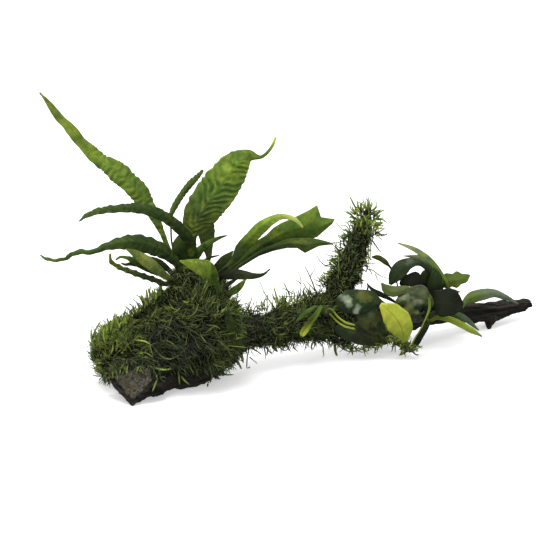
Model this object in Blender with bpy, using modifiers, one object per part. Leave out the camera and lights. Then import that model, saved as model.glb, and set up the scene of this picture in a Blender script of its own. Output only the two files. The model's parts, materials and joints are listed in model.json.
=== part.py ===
"""Java fern and a broad-leaved plant growing on a mossy piece of driftwood.

Metres, +Z up. The part rests on the flat underside of the stump and on a spike
below the right fork. The origin lies on that ground, below the middle of the
object, with +X along its length and +Y away from its front.
"""

import math

import bpy
import bmesh
from mathutils import Vector, noise

# Driving dimensions
# The plant is laid out on a full-size drawing of its front, 550 mm square.
# A place on it is given in millimetres across from the left edge, down from the
# top edge, and as a depth away from the viewer, who looks down at EYE_TILT.
MM = 0.001
SHEET_SIDE = 550.0
EYE_TILT = math.radians(20.0)
EYE_DISTANCE = 3060.0
FRONT_CORNER_ACROSS = 132.0
FRONT_CORNER_DOWN = 407.0
FRONT_CORNER_DEPTH = -50.0
ORIGIN_ACROSS = 295.0
ORIGIN_DEPTH = 74.0

LEAF_THICKNESS = 1.2
CREASE = 0.10
JOINT_GAP = 0.3
CUT_GAP = 0.45
MOSS_GROUND_GAP = 1.0
WOOD_SIDES = 12
MOSS_SIDES = 18
MOUND_SIDES = 26
RHIZOME_SIDES = 10
SHARP_ANGLE = math.radians(40.0)

# How far a surface swells and sinks, as a share of its radius
BARK_LUMPS = 0.28
RHIZOME_LUMPS = 0.25
MOUND_LUMPS = 0.12
SLEEVE_LUMPS = 0.25
LOW_MOSS_LUMPS = 0.35
LUMPS_AROUND = 1.6
LUMPS_ALONG = 0.45
SEED_STEP = 7.3

# Directions of the drawing
TO_RIGHT = Vector((1.0, 0.0, 0.0))
SIGHT = Vector((0.0, math.cos(EYE_TILT), -math.sin(EYE_TILT)))
SHEET_UP = Vector((0.0, math.sin(EYE_TILT), math.cos(EYE_TILT)))
STRAIGHT_UP = Vector((0.0, 0.0, 1.0))
STRAIGHT_BACK = Vector((0.0, 1.0, 0.0))

FRONT_CORNER = Vector((FRONT_CORNER_ACROSS, FRONT_CORNER_DEPTH, 0.0))
SHEET_MIDDLE = (
    FRONT_CORNER
    + TO_RIGHT * (SHEET_SIDE / 2 - FRONT_CORNER_ACROSS)
    + SHEET_UP * (FRONT_CORNER_DOWN - SHEET_SIDE / 2)
)
EYE = SHEET_MIDDLE - SIGHT * EYE_DISTANCE
ORIGIN = Vector((ORIGIN_ACROSS, ORIGIN_DEPTH, 0.0))

# The saw cut through the stump's end, as a plane in the drawing's millimetres
SAW_POINT = Vector((132.0, -50.0, 0.0))
SAW_NORMAL = Vector((-0.137, -0.912, 0.386)).normalized()


# Places
def sight_line(across, down):
    return (
        SIGHT * EYE_DISTANCE
        + TO_RIGHT * (across - SHEET_SIDE / 2)
        + SHEET_UP * (SHEET_SIDE / 2 - down)
    )


def to_part(point):
    return (point - ORIGIN) * MM


def seen(across, down, depth):
    """The point at this depth that the viewer sees at this place of the drawing."""
    line = sight_line(across, down)
    return to_part(EYE + line * ((depth - EYE.y) / line.y))


def seen_on_plane(across, down, point, normal):
    line = sight_line(across, down)
    return to_part(EYE + line * ((point - EYE).dot(normal) / line.dot(normal)))


# Objects and materials
def new_collection(name):
    collection = bpy.data.collections.new(name)
    bpy.context.scene.collection.children.link(collection)
    return collection


def srgb_to_linear(value):
    value = value / 255.0
    if value <= 0.04045:
        return value / 12.92
    return ((value + 0.055) / 1.055) ** 2.4


def material(name, colour, roughness):
    made = bpy.data.materials.new(name)
    made.use_nodes = True
    shader = made.node_tree.nodes["Principled BSDF"]
    shader.inputs["Base Color"].default_value = [srgb_to_linear(c) for c in colour] + [1.0]
    shader.inputs["Roughness"].default_value = roughness
    shader.inputs["Metallic"].default_value = 0.0
    return made


def object_from(name, bm, collection, colour=None, roughness=0.6):
    bmesh.ops.triangulate(bm, faces=bm.faces)
    bmesh.ops.recalc_face_normals(bm, faces=bm.faces)
    mesh = bpy.data.meshes.new(name)
    bm.to_mesh(mesh)
    bm.free()
    mesh.shade_smooth()
    mesh.set_sharp_from_angle(angle=SHARP_ANGLE)
    thing = bpy.data.objects.new(name, mesh)
    collection.objects.link(thing)
    if colour:
        mesh.materials.append(material(name, colour, roughness))
    return thing


def hide_as_cutter(thing):
    thing.hide_render = True
    thing.display_type = "WIRE"


def finished_mesh(thing):
    bpy.context.view_layer.update()
    graph = bpy.context.evaluated_depsgraph_get()
    return bpy.data.meshes.new_from_object(thing.evaluated_get(graph))


def swollen(thing, gap=CUT_GAP):
    """A cutter with the thing's shape, larger by the gap on every side."""
    mesh = finished_mesh(thing)
    moves = [vertex.normal * gap * MM for vertex in mesh.vertices]
    for vertex, move in zip(mesh.vertices, moves):
        vertex.co += move
    cutter = bpy.data.objects.new(thing.name + "_clearance", mesh)
    CUTTERS.objects.link(cutter)
    hide_as_cutter(cutter)
    return cutter


def combine(thing, other, operation):
    step = thing.modifiers.new(other.name, "BOOLEAN")
    step.operation = operation
    step.solver = "EXACT"
    step.object = other


def cut_clear_of(thing, others):
    for other in others:
        combine(thing, swollen(other), "DIFFERENCE")


# Lofts
def loft(rings):
    bm = bmesh.new()
    rows = [[bm.verts.new(point) for point in ring] for ring in rings]
    for near, far in zip(rows, rows[1:]):
        for k in range(len(near)):
            n = (k + 1) % len(near)
            bm.faces.new((near[k], near[n], far[n], far[k]))
    bm.faces.new(rows[0])
    bm.faces.new(rows[-1])
    return bm


def lumpy_ring(centre, wide, high, sides, lumps, row, seed):
    """A ring of points in the plane of two half axes, with smooth lumps on it."""
    ring = []
    for k in range(sides):
        angle = 2 * math.pi * k / sides
        spot = Vector((math.cos(angle), math.sin(angle), 0.0)) * LUMPS_AROUND
        spot.z = row * LUMPS_ALONG + seed * SEED_STEP
        swell = 1.0 + lumps * noise.noise(spot)
        ring.append(centre + (wide * math.cos(angle) + high * math.sin(angle)) * swell)
    return ring


def round_rings(stations, sides, lumps, seed, reference=STRAIGHT_UP):
    """Rings around a path. A station is across, down, depth, half width, half height."""
    centres = [seen(*station[:3]) for station in stations]
    rings = []
    for row, station in enumerate(stations):
        ahead = centres[min(row + 1, len(centres) - 1)] - centres[max(row - 1, 0)]
        side = ahead.cross(reference).normalized()
        upward = side.cross(ahead).normalized()
        wide = side * station[3] * MM
        high = upward * station[4] * MM
        rings.append(lumpy_ring(centres[row], wide, high, sides, lumps, row, seed))
    return rings


def level_rings(stations, sides, lumps, seed):
    """Level rings, one above the other. A station ends in its half width and half depth."""
    rings = []
    for row, (across, down, depth, half_width, half_depth) in enumerate(stations):
        centre = seen(across, down, depth)
        wide = TO_RIGHT * half_width * MM
        deep = STRAIGHT_BACK * half_depth * MM
        rings.append(lumpy_ring(centre, wide, deep, sides, lumps, row, seed))
    return rings


def box(name, low, high):
    bm = bmesh.new()
    bmesh.ops.create_cube(bm, size=1.0)
    for vertex in bm.verts:
        for axis in range(3):
            vertex.co[axis] = high[axis] if vertex.co[axis] > 0 else low[axis]
    cutter = object_from(name, bm, CUTTERS)
    hide_as_cutter(cutter)
    return cutter


def below_level(name, level):
    reach = SHEET_SIDE * MM
    return box(name, (-reach, -reach, -reach), (reach, reach, level * MM))


# Driftwood
BARK = (38, 32, 29)
BARK_ROUGHNESS = 0.85

SAWN_OUTLINE = [
    (152, 382), (151, 375), (147, 369), (135, 370), (122, 372), (111, 375),
    (109, 379), (113, 387), (123, 397), (132, 407), (139, 400), (147, 391),
]

STUMP_STATIONS = [
    (141, 376, -20, 25, 25),
    (158, 362, 4, 31, 30),
    (182, 354, 20, 36, 34),
    (206, 347, 32, 32, 30),
    (228, 335, 43, 23, 21),
]

BRANCH_STATIONS = [
    (250, 328, 52, 14, 13),
    (280, 327, 66, 11, 11),
    (308, 324, 80, 11, 11),
    (332, 318, 93, 14, 13),
    (356, 319, 104, 12, 12),
]

RIGHT_FORK_STATIONS = [
    (390, 320, 122, 12, 12),
    (425, 314, 142, 11.5, 11.5),
    (452, 312, 158, 10.5, 10.5),
    (475, 312, 170, 10, 10),
    (495, 310, 182, 9, 9),
    (512, 307, 192, 7, 7),
    (524, 304.5, 200, 5, 5),
    (531, 303.5, 204, 3, 3),
]

UPRIGHT_STATIONS = [
    (336, 314, 95, 11, 11),
    (341, 295, 94, 10, 10),
    (347, 275, 93, 9, 9),
    (354, 255, 92, 8, 8),
    (360, 238, 91, 7, 7),
    (365, 222, 90, 5, 5),
    (367, 211, 89, 3, 3),
]

# The spike's foot on the ground, its root in the fork, and its radius along the way
SPIKE_FOOT = (490, 329)
SPIKE_ROOT = (489, 313, 178)
SPIKE_RADII = [(0.0, 8.0), (0.45, 6.0), (0.75, 3.6), (1.0, 1.2)]


def moved_on(ring, next_ring):
    """The ring, moved along its path by the gap between two pieces of wood."""
    middle = sum(ring, Vector()) / len(ring)
    next_middle = sum(next_ring, Vector()) / len(next_ring)
    step = (next_middle - middle).normalized() * JOINT_GAP * MM
    return [point + step for point in ring]


def wood_piece(name, rings):
    return object_from(name, loft(rings), PARTS, BARK, BARK_ROUGHNESS)


def make_trunk():
    """The stump, the branch and the right fork, which share one run of rings."""
    stations = STUMP_STATIONS + BRANCH_STATIONS + RIGHT_FORK_STATIONS
    rings = round_rings(stations, WOOD_SIDES, BARK_LUMPS, seed=1)
    sawn = [seen_on_plane(a, d, SAW_POINT, SAW_NORMAL) for a, d in SAWN_OUTLINE]
    stump_end = len(STUMP_STATIONS)
    branch_end = stump_end + len(BRANCH_STATIONS)
    branch_start = moved_on(rings[stump_end - 1], rings[stump_end])
    fork_start = moved_on(rings[branch_end - 1], rings[branch_end])
    stump = wood_piece("driftwood_stump", [sawn] + rings[:stump_end])
    branch = wood_piece("driftwood_branch", [branch_start] + rings[stump_end:branch_end])
    fork = wood_piece("driftwood_right_fork", [fork_start] + rings[branch_end:])
    combine(stump, below_level("ground", 0.0), "DIFFERENCE")
    return stump, branch, fork


def add_spike(fork):
    """The broken twig below the right fork, whose tip touches the ground."""
    foot = seen_on_plane(*SPIKE_FOOT, Vector(), STRAIGHT_UP)
    inside = seen(*SPIKE_ROOT)
    rings = []
    for row, (share, radius) in enumerate(SPIKE_RADII):
        centre = inside.lerp(foot, share)
        wide = TO_RIGHT * radius * MM
        deep = STRAIGHT_BACK * radius * MM
        rings.append(lumpy_ring(centre, wide, deep, RHIZOME_SIDES, 0.0, row, seed=0))
    spike = object_from("spike", loft(rings), CUTTERS)
    hide_as_cutter(spike)
    combine(fork, spike, "UNION")


def make_upright_fork(branch):
    rings = round_rings(
        UPRIGHT_STATIONS, WOOD_SIDES, BARK_LUMPS, seed=2, reference=STRAIGHT_BACK)
    fork = wood_piece("driftwood_upright_fork", rings)
    cut_clear_of(fork, [branch])
    return fork


# Rhizomes
RHIZOME_GREEN = (88, 96, 48)


def rhizome(name, stations, wood=()):
    rings = round_rings(stations, RHIZOME_SIDES, RHIZOME_LUMPS, seed=3)
    thing = object_from(name, loft(rings), PARTS, RHIZOME_GREEN, 0.6)
    cut_clear_of(thing, wood)
    return thing


# Leaves
def leaf_surface(stations):
    """An open blade along its midrib. A station is across, down, depth and width."""
    centres = [seen(*station[:3]) for station in stations]
    last_row = len(stations) - 1
    side = None
    strips = []
    bm = bmesh.new()
    for i in range(last_row, -1, -1):
        ahead = (centres[min(i + 1, last_row)] - centres[max(i - 1, 0)]).normalized()
        across_sight = ahead.cross(-SIGHT)
        if side is not None:
            across_sight += side * (1.0 - across_sight.length)
        side = (across_sight - ahead * across_sight.dot(ahead)).normalized()
        face = side.cross(ahead)
        half = side * stations[i][3] / 2 * MM
        crease = face * stations[i][3] * CREASE * MM
        strips.append([bm.verts.new(centres[i] - half),
                       bm.verts.new(centres[i] + crease),
                       bm.verts.new(centres[i] + half)])
    for near, far in zip(strips, strips[1:]):
        for k in range(2):
            bm.faces.new((near[k], near[k + 1], far[k + 1], far[k]))
    return bm


def thicken(thing):
    step = thing.modifiers.new("thickness", "SOLIDIFY")
    step.thickness = LEAF_THICKNESS * MM
    step.offset = 0.0


def leaf(name, colour, root, stations, shine=0.45):
    """A leaf with its stalk, cut off at the rhizome's skin when it grows from one."""
    thing = object_from(name, leaf_surface(stations), PARTS, colour, shine)
    thicken(thing)
    if root:
        cut_clear_of(thing, [root])
    return thing


def lobed_leaf(name, colour, root, upper_edge, lower_edge, near_depth, far_depth):
    """A lobed leaf between its two edges. Its depth changes evenly along its length."""
    start = upper_edge[0][0]
    length = upper_edge[-1][0] - start
    bm = bmesh.new()
    strips = []
    for pair in zip(upper_edge, lower_edge):
        strip = []
        for across, down in pair:
            share = (across - start) / length
            depth = near_depth + (far_depth - near_depth) * share
            strip.append(bm.verts.new(seen(across, down, depth)))
        strips.append(strip)
    for near, far in zip(strips, strips[1:]):
        bm.faces.new((near[0], near[1], far[1], far[0]))
    thing = object_from(name, bm, PARTS, colour, 0.45)
    thicken(thing)
    cut_clear_of(thing, [root])
    return thing


def add_lobe(thing, stations):
    lobe = object_from(thing.name + "_lobe", leaf_surface(stations), CUTTERS)
    thicken(lobe)
    hide_as_cutter(lobe)
    combine(thing, lobe, "UNION")


# Fern
FERN_RHIZOME_STATIONS = [
    (168, 282, 7, 3, 3),
    (172, 280, 9, 5.5, 5.5),
    (184, 275, 12, 6.5, 6.5),
    (200, 275, 12, 6.5, 6.5),
    (214, 280, 10, 6, 6),
    (222, 287, 6, 5, 5),
    (225, 291, 4, 3, 3),
]

GREEN_BRIGHT = (128, 160, 50)
GREEN_FRESH = (100, 140, 50)
GREEN_MIDDLE = (80, 115, 45)
GREEN_DARK = (52, 72, 36)
GREEN_OLIVE = (92, 104, 44)


def make_fern_left(root):
    leaf("fern_leaf_tall_left", GREEN_FRESH, root, [
        (183, 275, 15, 2.4), (175, 260, 16, 3), (167, 245, 17, 4.5), (161, 230, 18, 6.5),
        (154, 216, 20, 10), (144, 199, 23, 17), (128, 181, 28, 20.5), (112, 168, 34, 18.5),
        (94, 155, 42, 13), (70, 129, 54, 10), (55, 112, 64, 7.5), (40, 92, 75, 1)])
    leaf("fern_leaf_upper_arch", GREEN_DARK, root, [
        (191, 275, 7, 2.4), (193, 256, 1, 3), (190, 242, -4, 5), (181, 230, -11, 9),
        (163, 216, -20, 11.5), (140, 208, -30, 11.5), (120, 209, -39, 9.5),
        (100, 211, -47, 8), (88, 215, -53, 6), (79, 221, -58, 1)])
    leaf("fern_leaf_lower_arch", GREEN_DARK, root, [
        (181, 276, 7, 2.4), (177, 264, 3, 8), (167, 254, -1, 13), (153, 247, -6, 16.5),
        (139, 243, -12, 17), (122, 243, -18, 13), (105, 247, -22, 7.5), (92, 252, -24, 5),
        (79, 252, -24, 5), (60, 260, -20, 3.5), (47, 259, -16, 3), (40, 255, -12, 1)])
    leaf("fern_leaf_pale_small", GREEN_FRESH, root, [
        (174, 279, 4, 2.4), (167, 277, -7, 6), (158, 270, -15, 10), (147, 262, -23, 11.5),
        (137, 255, -30, 8.5), (126, 249, -36, 1)])
    leaf("fern_leaf_low_wavy", GREEN_MIDDLE, root, [
        (172, 281, 5, 2.4), (165, 284, -8, 5), (155, 280, -17, 6), (140, 275, -27, 6),
        (129, 271, -34, 5.5), (119, 267, -41, 5), (111, 261, -46, 4), (110, 254, -49, 1.5)])
    leaf("fern_leaf_small_behind", GREEN_DARK, root, [
        (177, 278, 14, 2.4), (170, 271, 21, 5), (160, 263, 24, 7), (146, 256, 26, 1)])
    forked = leaf("fern_leaf_forked", GREEN_DARK, root, [
        (175, 280, 10, 2.4), (162, 275, 8, 5), (150, 269, 7, 8), (141, 264, 6, 9),
        (133, 260.5, 5, 7), (126, 257.5, 4, 3.5), (120, 257, 4, 2.5), (115.5, 260, 4, 1.2)])
    add_lobe(forked, [
        (142, 266, 6, 3), (136, 264.5, 5.5, 4.5), (130, 264, 5, 3.5), (125, 264.5, 5, 2.5),
        (121, 263, 5, 1)])


def make_fern_middle(root):
    leaf("fern_leaf_slim_upright", GREEN_OLIVE, root, [
        (187, 275, 16, 2.4), (176, 258, 24, 2), (172, 244, 27, 1.8), (171, 229, 29, 1.8),
        (171, 215, 32, 4.5), (176, 204, 36, 6.5), (183, 193, 40, 6.5), (191, 183, 44, 7),
        (198, 176, 48, 5), (203, 170, 52, 2.5)])
    leaf("fern_leaf_young", GREEN_DARK, root, [
        (189, 276, 14, 2.2), (184, 258, 20, 5), (181, 247, 20, 10), (180, 239, 20, 6),
        (182, 234, 20, 1)])
    leaf("fern_leaf_broad_ribbed", GREEN_MIDDLE, root, [
        (196, 275, 12, 2.6), (195, 257, 13, 3), (193, 239, 12, 6), (199, 221, 11, 27),
        (206, 208, 12, 33), (219, 190, 15, 37), (228, 176, 19, 35), (238, 163, 24, 27),
        (249, 156, 28, 13), (261, 157, 31, 3.5), (271, 148, 34, 3), (276, 137, 37, 1)])
    leaf("fern_leaf_dark_upright", GREEN_DARK, root, [
        (205, 277, 15, 2.4), (207, 258, 21, 4), (208, 245, 23, 9), (207, 232, 26, 15),
        (206, 220, 29, 15), (206, 205, 32, 9), (207, 195, 34, 1)])
    leaf("fern_leaf_small_right", GREEN_DARK, root, [
        (201, 276, 11, 2), (201, 258, 9, 2), (203, 247, 8, 3), (213, 241, 7, 4.5),
        (220, 237.5, 6, 3), (227, 235.5, 5, 0.8)])
    leaf("fern_stalk_thin", GREEN_DARK, root, [
        (198, 276, 7, 1.5), (200, 263, 1, 1.5), (210, 257.5, -1, 2), (219, 255.5, -2, 0.8)])
    leaf("fern_leaf_folded_front", GREEN_BRIGHT, root, [
        (221, 287, 3, 2.4), (219, 289, -8, 4), (216, 281, -15, 9), (209, 271, -22, 16),
        (199, 266, -29, 12), (189, 263, -36, 7), (180, 261, -42, 1)])


def make_fern_right(root):
    leaf("fern_leaf_curled_right", GREEN_DARK, root, [
        (216, 282, 4, 2.4), (222, 276, -5, 8), (232, 274, -8, 11), (243, 275, -12, 9.5),
        (254, 276, -16, 6), (263, 274.5, -20, 3), (270, 269, -24, 0.8)])
    leaf("fern_leaf_low_dark", GREEN_DARK, root, [
        (220, 286, 7, 2), (225, 286, 10, 4), (230, 283, 10, 4.5), (237, 279, 10, 0.8)])
    leaf("fern_leaf_low_green", GREEN_MIDDLE, root, [
        (223, 289, 5, 2.4), (228, 293, 0, 5), (235, 290, 0, 8), (241, 285, 1, 6),
        (246, 278.5, 2, 1)])
    leaf("fern_leaf_short_dark", GREEN_DARK, root, [
        (213, 280, 8, 2.4), (219, 270, 8, 14), (225, 261, 8, 12), (233, 251, 8, 1)])
    leaf("fern_leaf_arching_right", GREEN_FRESH, root, [
        (210, 279, 5, 2.4), (222, 270, 1, 3), (233, 261, -1, 6), (241, 249, -5, 12),
        (252, 237, -11, 13), (262, 227, -18, 12), (273, 220, -25, 9), (284, 216.5, -31, 5),
        (294, 219, -36, 4.5), (303, 228, -41, 1.5)])
    lobed_leaf(
        "fern_leaf_upper_lobed", GREEN_FRESH, root,
        [(210, 278), (226, 268.5), (236, 260), (247, 250), (258, 240), (266, 235), (273, 228),
         (281, 223), (295, 217), (309, 210), (317, 205), (321, 217), (335, 219)],
        [(210, 281), (227, 271), (239, 263), (251, 254), (262, 247), (272, 243), (279, 240),
         (287, 237), (295, 236), (303, 236), (310, 236), (317, 236), (332, 224)],
        near_depth=14, far_depth=60)
    lobed_leaf(
        "fern_leaf_lower_lobed", GREEN_DARK, root,
        [(214, 280), (228, 272), (241, 262.5), (262, 249), (274, 244), (287, 239), (297, 238),
         (305, 238), (312, 238), (318, 239), (326, 241), (334, 243.5)],
        [(214, 282.5), (229, 275), (244, 265), (259, 256), (273, 251), (287, 248), (297, 248),
         (305, 253), (313, 249), (319, 246), (327, 245), (333, 244.5)],
        near_depth=10, far_depth=42)


# Broad-leaved plant
LEFT_RHIZOME_STATIONS = [
    (356, 324, 82, 3, 3),
    (366, 326, 88, 5, 5),
    (382, 330, 94, 5.5, 5.5),
    (397, 339, 91, 5.5, 5.5),
    (407, 347, 82, 5, 5),
    (413, 350, 78, 3, 3),
]

RIGHT_RHIZOME_STATIONS = [
    (408, 318, 112, 3, 3),
    (416, 318, 117, 5, 5),
    (430, 314, 125, 5.5, 5.5),
    (446, 310, 135, 5, 5),
    (457, 309, 141, 3, 3),
]

SMALL_RHIZOME_STATIONS = [
    (320, 309, 63, 3, 3),
    (326, 311, 66, 5, 5),
    (332, 314, 69, 3, 3),
]

LIME = (155, 165, 45)
OVAL_GREEN = (60, 84, 42)
OVAL_DARK = (35, 48, 36)
OVAL_BLACK = (32, 37, 32)
OVAL_GREY = (112, 130, 108)
OVAL_MIDDLE = (84, 112, 50)


def make_ovals_left(root):
    leaf("anubias_leaf_glossy_front", OVAL_DARK, root, [
        (372, 328, 91, 2.4), (388, 315, 80, 2.4), (384, 304, 68, 4), (377, 303, 64, 9),
        (368, 301, 62, 21), (357, 302, 61, 26), (346, 301, 60, 23), (339, 300, 60, 13),
        (336, 299, 60, 3)], 0.2)
    leaf("anubias_leaf_dark_left", OVAL_DARK, root, [
        (385, 332, 93, 2.4), (385, 333, 81, 4), (376, 326, 72, 20), (369, 318, 68, 24),
        (362, 310, 67, 16), (357, 305, 67, 3)], 0.3)
    leaf("anubias_leaf_dark_low", OVAL_DARK, root, [
        (393, 337, 96, 2.4), (388, 341, 88, 5), (374, 338, 81, 18), (360, 334, 77, 22),
        (348, 331, 75, 20), (339, 329, 73, 12), (334, 328, 72, 3)], 0.3)
    leaf("anubias_leaf_lime", LIME, root, [
        (405, 345, 84, 2.4), (404, 341, 74, 7), (401, 333, 69, 20), (397, 323, 65, 27),
        (391, 315, 62, 22), (386, 309, 60, 14), (381, 304, 58, 3)])
    leaf("anubias_leaf_strap", OVAL_BLACK, root, [
        (411, 349, 81, 2.4), (416, 343, 82, 7), (421, 334, 84, 7.5), (427, 326, 88, 5),
        (430, 321, 90, 1)])


def make_ovals_middle(root):
    leaf("anubias_leaf_mottled", OVAL_GREY, root, [
        (422, 317, 120, 2.4), (424, 320, 104, 5), (421, 312, 96, 20), (415, 302, 91, 30),
        (412, 293, 89, 27), (412, 286, 89, 12), (412, 283, 89, 2)], 0.3)
    leaf("anubias_leaf_black", OVAL_BLACK, root, [
        (432, 313, 126, 2.4), (430, 303, 108, 4), (436, 301, 101, 18), (446, 302, 98, 28),
        (455, 303, 98, 22), (462, 304, 99, 4)], 0.35)
    leaf("anubias_leaf_dark_neck", OVAL_BLACK, root, [
        (434, 312, 127, 2.4), (435, 296, 112, 5), (435, 286, 108, 7), (436, 276, 107, 6),
        (433, 267, 107, 1)], 0.35)
    leaf("anubias_leaf_pale_tip_up", OVAL_GREY, root, [
        (446, 310, 134, 2.4), (449, 296, 121, 2.4), (446, 283, 115, 6), (441, 274, 113, 9),
        (434, 265, 112, 10.5), (425, 257, 112, 10), (414, 250, 112, 8), (405, 245.5, 113, 4),
        (397, 243, 114, 1)])
    leaf("anubias_leaf_hooked", OVAL_DARK, root, [
        (428, 314, 124, 2.4), (434, 294, 121, 2.2), (430, 274, 116, 4), (419, 265, 112, 8),
        (408, 265, 108, 12), (399, 271, 104, 14), (395, 279, 101, 11), (394, 287, 99, 2)])
    leaf("anubias_leaf_grey_behind", OVAL_GREY, root, [
        (431, 314, 128, 2.4), (437, 290, 130, 2.4), (433, 274, 126, 6), (427, 264, 124, 10),
        (418, 258, 124, 7), (411, 256.5, 124, 3), (404, 256, 124, 0.8)])
    leaf("anubias_leaf_shaded", OVAL_BLACK, root, [
        (420, 317, 120, 2.4), (423, 297, 117, 2.2), (420, 282, 112, 4), (413, 279, 110, 9),
        (406, 279, 108, 8), (401, 284, 107, 2)])
    leaf("anubias_leaf_small_shaded", OVAL_DARK, root, [
        (424, 316, 122, 2.2), (427, 298, 124, 2.2), (422, 284, 121, 4), (426, 275, 121, 7),
        (431, 268, 121, 1)])


def make_ovals_right(root):
    leaf("anubias_leaf_green_right", OVAL_MIDDLE, root, [
        (443, 311, 134, 2.4), (444, 294, 126, 2.4), (440, 286, 122, 7), (447, 281.5, 121, 12),
        (456, 280.5, 121, 12.5), (464, 278, 121, 9), (470, 276, 122, 1)])
    leaf("anubias_leaf_tiny_right", OVAL_MIDDLE, root, [
        (449, 310, 137, 2.2), (447, 296, 131, 3), (452, 291.5, 130, 5), (460, 292, 130, 0.8)])
    leaf("anubias_leaf_long_grey", OVAL_GREY, root, [
        (455, 309, 140, 2.4), (462, 308, 144, 2.4), (466, 301, 149, 7), (473, 297, 151, 12.5),
        (483, 294.5, 152, 12), (495, 293.5, 153, 8.5), (505, 297, 154, 6), (513, 301, 155, 3),
        (519, 304, 156, 0.8)])
    leaf("anubias_leaf_lime_low", LIME, root, [
        (424, 316, 121, 2.4), (430, 323, 113, 3), (437, 318, 110, 7), (448, 319, 110, 8),
        (460, 323.5, 111, 8), (471, 329, 112, 7), (482, 336.5, 113, 1)])
    leaf("anubias_leaf_grey_low", OVAL_GREY, root, [
        (446, 311, 134, 2.4), (452, 315, 122, 5), (461, 317.5, 119, 8), (469, 323, 119, 4),
        (479, 331, 119, 0.8)])
    leaf("anubias_leaf_pale_left", OVAL_MIDDLE, root, [
        (412, 318, 114, 2.4), (413, 301, 104, 2.4), (407, 288, 97, 5), (400, 290, 94, 8),
        (392, 290.5, 92, 9.5), (386, 289, 91, 9), (382, 283, 91, 1)])
    leaf("anubias_leaf_dark_point", OVAL_DARK, root, [
        (410, 318, 113, 2.2), (398, 304, 105, 2.4), (388, 298, 99, 5), (380, 294, 96, 7),
        (373, 290, 95, 5), (367, 284, 95, 0.8)])
    leaf("anubias_leaf_by_fork", OVAL_DARK, root, [
        (414, 318, 118, 1.6), (401, 300, 115, 1.6), (396, 280, 114, 1.6), (390, 267, 110, 2),
        (385, 262, 107, 4), (378, 257.5, 106, 4.5), (372, 258, 106, 1)])


def make_small_shoot(root):
    leaf("anubias_leaf_tongue", LIME, root, [
        (324, 311, 65, 2.4), (321, 307, 54, 4), (316, 315, 49, 6), (309, 324, 47, 7.5),
        (303, 331, 46, 8), (300, 335, 46, 4)])
    leaf("anubias_leaf_short_tongue", OVAL_MIDDLE, root, [
        (322, 310, 65, 2.2), (316, 307, 58, 3.5), (309, 311, 52, 6), (302, 316, 49, 5),
        (296, 321, 48, 0.8)])
    leaf("anubias_stem_upper", LIME, root, [
        (326, 311, 65, 1.8), (331, 309, 57, 1.8), (338, 317, 57, 1.8), (347, 323, 61, 1.8),
        (355, 325, 66, 1.2)])
    leaf("anubias_stem_lower", LIME, root, [
        (329, 313, 67, 1.8), (331, 315, 58, 1.8), (336, 320.5, 58, 1.8), (344, 326, 62, 1.8),
        (355, 329, 67, 1.2)])


# Moss
MOSS_GREEN = (66, 80, 32)
MOSS_ROUGHNESS = 0.9

MOUND_STATIONS = [
    (162, 374, 17, 60, 38),
    (163, 362, 16, 68, 43),
    (165, 347, 15, 75, 46),
    (166, 332, 14, 75, 45),
    (171, 320, 13, 68, 40),
    (179, 309, 12, 56, 35),
    (188, 300, 12, 40, 29),
    (193, 293, 12, 30, 22),
    (195, 287, 12, 24, 17),
    (196, 281, 12, 18, 12),
]

BRANCH_MOSS_STATIONS = [
    (228, 336, 42, 23, 23),
    (238, 332, 47, 22, 22),
    (250, 328, 53, 20, 21),
    (266, 325, 60, 20, 25),
    (285, 322, 69, 20, 24),
    (305, 319, 79, 20, 23),
    (322, 316, 88, 19, 23),
    (338, 319, 97, 15, 18),
    (350, 320, 103, 12.8, 14),
]

UPRIGHT_MOSS_STATIONS = [
    (336, 296, 94, 19, 17),
    (342, 282, 93, 18, 16),
    (350, 264, 92, 16.5, 15),
    (356, 248, 91, 15, 14),
    (361, 235, 90, 15, 14),
    (364, 222, 89, 18, 16),
    (366, 211, 88, 20, 18),
    (366, 203, 88, 15, 14),
    (366, 198, 88, 7, 7),
]

LOW_MOSS_STATIONS = [
    (330, 345, 80, 3, 4),
    (343, 349, 80, 5, 5),
    (362, 353, 80, 5, 5),
    (380, 353, 79, 5, 5),
    (396, 355, 77, 4.5, 4.5),
    (412, 356, 75, 4, 4),
    (424, 353, 76, 2, 2.5),
]


def moss_body(name, rings):
    """A moss piece before it is cut, and a cutter of its outer form for its neighbours."""
    body = object_from(name, loft(rings), PARTS, MOSS_GREEN, MOSS_ROUGHNESS)
    return body, swollen(body)


def make_mound(stump, branch, roots):
    rings = level_rings(MOUND_STATIONS, MOUND_SIDES, MOUND_LUMPS, seed=5)
    mound, outer_form = moss_body("moss_mound", rings)
    combine(mound, below_level("moss_ground", MOSS_GROUND_GAP), "DIFFERENCE")
    cut_clear_of(mound, [stump, branch, roots])
    return outer_form


def make_branch_moss(mound_form, others):
    rings = round_rings(BRANCH_MOSS_STATIONS, MOSS_SIDES, SLEEVE_LUMPS, seed=6)
    sleeve, outer_form = moss_body("moss_on_branch", rings)
    combine(sleeve, mound_form, "DIFFERENCE")
    cut_clear_of(sleeve, others)
    return outer_form


def make_upright_moss(sleeve_form, upright, branch):
    rings = round_rings(
        UPRIGHT_MOSS_STATIONS, MOSS_SIDES, SLEEVE_LUMPS, seed=7, reference=STRAIGHT_BACK)
    tuft, _ = moss_body("moss_on_upright_fork", rings)
    combine(tuft, sleeve_form, "DIFFERENCE")
    cut_clear_of(tuft, [upright, branch])


def make_low_moss(root):
    rings = round_rings(LOW_MOSS_STATIONS, RHIZOME_SIDES, LOW_MOSS_LUMPS, seed=8)
    low = object_from("moss_under_leaves", loft(rings), PARTS, MOSS_GREEN, MOSS_ROUGHNESS)
    cut_clear_of(low, [root])


# Build
for old in list(bpy.data.objects):
    bpy.data.objects.remove(old, do_unlink=True)

PARTS = new_collection("java_fern_on_driftwood")
CUTTERS = new_collection("cutters")

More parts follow.
